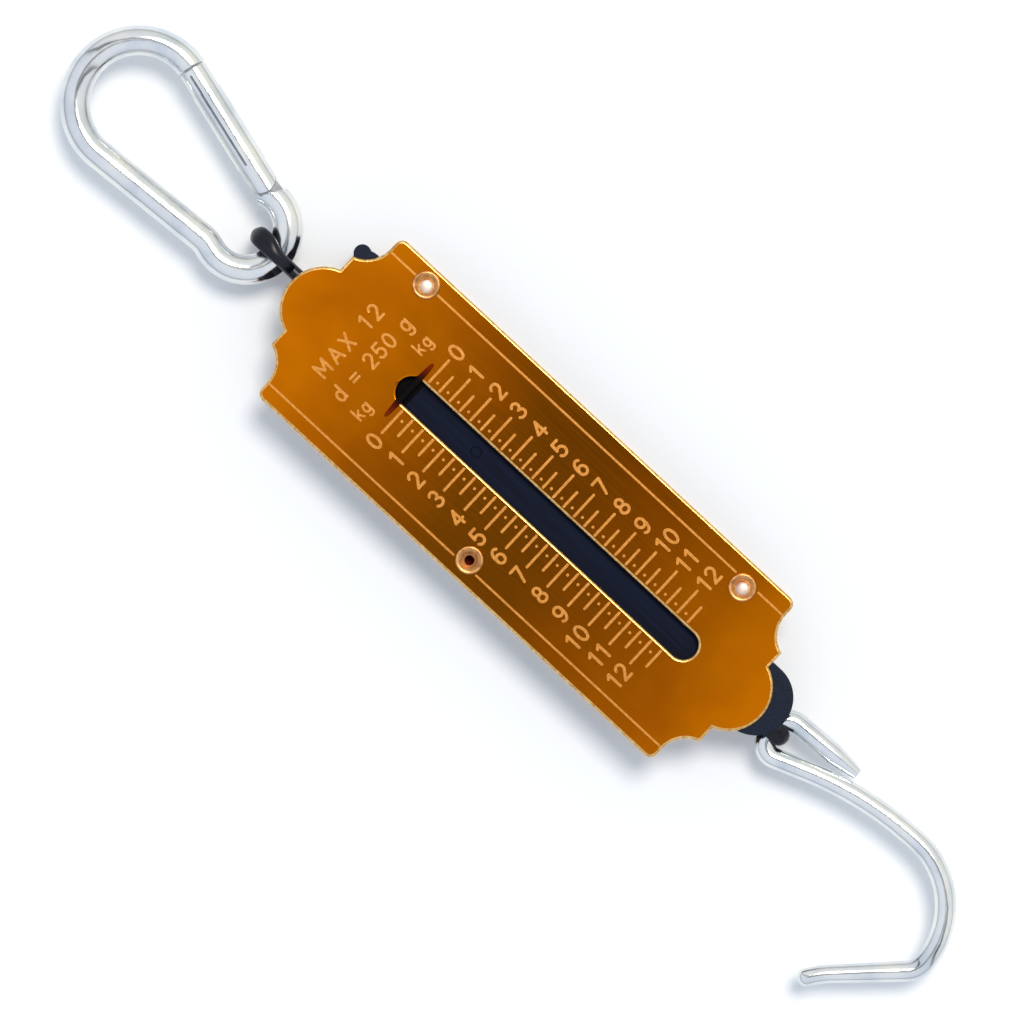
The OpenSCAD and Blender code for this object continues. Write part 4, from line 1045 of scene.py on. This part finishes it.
def pale_room():
    """Soft daylight from a pale room that is darker straight above, and lower down near its horizon."""
    world = bpy.data.worlds.new("pale_room")
    world.use_nodes = True
    tree = world.node_tree
    tree.nodes.clear()
    way = add(tree, "ShaderNodeTexCoord").outputs["Generated"]
    unit = add(tree, "ShaderNodeVectorMath", {0: way}, operation="NORMALIZE")
    above = Vector((0.03, -0.012, 1)).normalized()
    toward = add(tree, "ShaderNodeVectorMath", {0: unit.outputs[0], 1: above}, operation="DOT_PRODUCT")
    angle = add(tree, "ShaderNodeMath", {0: toward.outputs["Value"]}, operation="ARCCOSINE")
    part = add(tree, "ShaderNodeMath", {0: angle.outputs[0], 1: 1 / math.pi}, operation="MULTIPLY")
    shade = add(tree, "ShaderNodeValToRGB", {"Fac": part.outputs[0]},
                [(0.0, 0.15), (0.018, 0.3), (0.034, 0.55), (0.048, 1.05), (0.2, 1.08), (0.3, 1.06),
                 (0.4, 0.98), (0.44, 0.8), (0.465, 0.6), (0.497, 0.6), (0.51, 0.8)])
    # A dark rail a little to the right overhead, long in Y, draws the one dark line that runs along each
    # bright wire
    axis = add(tree, "ShaderNodeSeparateXYZ", {"Vector": unit.outputs[0]})
    tilt = add(tree, "ShaderNodeMath", {0: axis.outputs["X"], 1: axis.outputs["Z"]}, operation="ARCTAN2")
    place = add(tree, "ShaderNodeMath", {0: tilt.outputs[0], 1: 1 / math.pi, 2: 0.5},
                operation="MULTIPLY_ADD")
    rail = add(tree, "ShaderNodeValToRGB", {"Fac": place.outputs[0]},
               [(0.517, "FFFFFF"), (0.532, "232A35"), (0.556, "232A35"), (0.574, "FFFFFF")])
    # The room is a little bluer to the left and warmer to the right
    side = add(tree, "ShaderNodeMapRange", {"Value": axis.outputs["X"], "From Min": -0.9, "From Max": 0.9})
    tint = add(tree, "ShaderNodeValToRGB", {"Fac": side.outputs[0]},
               [(0.0, "ECF2FF"), (0.5, "F2F6FF"), (1.0, "F8F8F2")])
    colour = shade.outputs["Color"]
    for layer in (rail, tint):
        both = add(tree, "ShaderNodeMix", {"Factor": 1.0, "A": colour, "B": layer.outputs["Color"]},
                   data_type="RGBA", blend_type="MULTIPLY")
        colour = both.outputs["Result"]
    # Metal shows the bright room; the daylight that falls on matt things is weaker and bluer, so shadows stay
    daylight = add(tree, "ShaderNodeBackground", {"Color": linear("DCE9FA"), "Strength": 0.66})
    room = add(tree, "ShaderNodeBackground", {"Color": colour, "Strength": 0.94})
    white = add(tree, "ShaderNodeBackground", {"Color": (1, 1, 1, 1), "Strength": 1.0})
    seen, shiny = ray_kinds(tree)
    light = add(tree, "ShaderNodeMixShader", {0: shiny, 1: daylight.outputs[0], 2: room.outputs[0]})
    shown = add(tree, "ShaderNodeMixShader", {0: seen, 1: light.outputs[0], 2: white.outputs[0]})
    add(tree, "ShaderNodeOutputWorld", {"Surface": shown.outputs[0]})
    bpy.context.scene.world = world


def window_light():
    """A wide, slightly warm light from the right: it draws the shadows, and a stripe along each wire."""
    lamp = bpy.data.lights.new("window_light", "SUN")
    lamp.energy, lamp.angle = 1.85, math.radians(22)
    lamp.color = (1.0, 0.94, 0.84)
    holder = in_scene("window_light", lamp)
    toward_lamp = Vector((0.37, 0.08, 0.92)).normalized()
    holder.rotation_mode = "QUATERNION"
    holder.rotation_quaternion = toward_lamp.to_track_quat("Z", "Y")


def camera():
    """Straight above the dial, with the balance lying across the picture from upper left to lower right."""
    height, seen_w = 1.2, 0.2008        # metres above the dial, and metres across the picture at the dial
    slope = 42.85                       # degrees between the balance and the picture's lower edge
    data = bpy.data.cameras.new("camera")
    data.sensor_width, data.lens = 36.0, 36.0 * (height + 2.5 * MM) / seen_w
    data.clip_start, data.clip_end = 0.01, 20
    eye = in_scene("camera", data)
    eye.location = (-3.8 * MM, 0.3 * MM, CASE_T * MM + height)
    eye.rotation_euler = (0, 0, math.radians(slope - 90))
    bpy.context.scene.camera = eye


white_table()
pale_room()
window_light()
camera()
bpy.context.scene.view_settings.view_transform = "Standard"
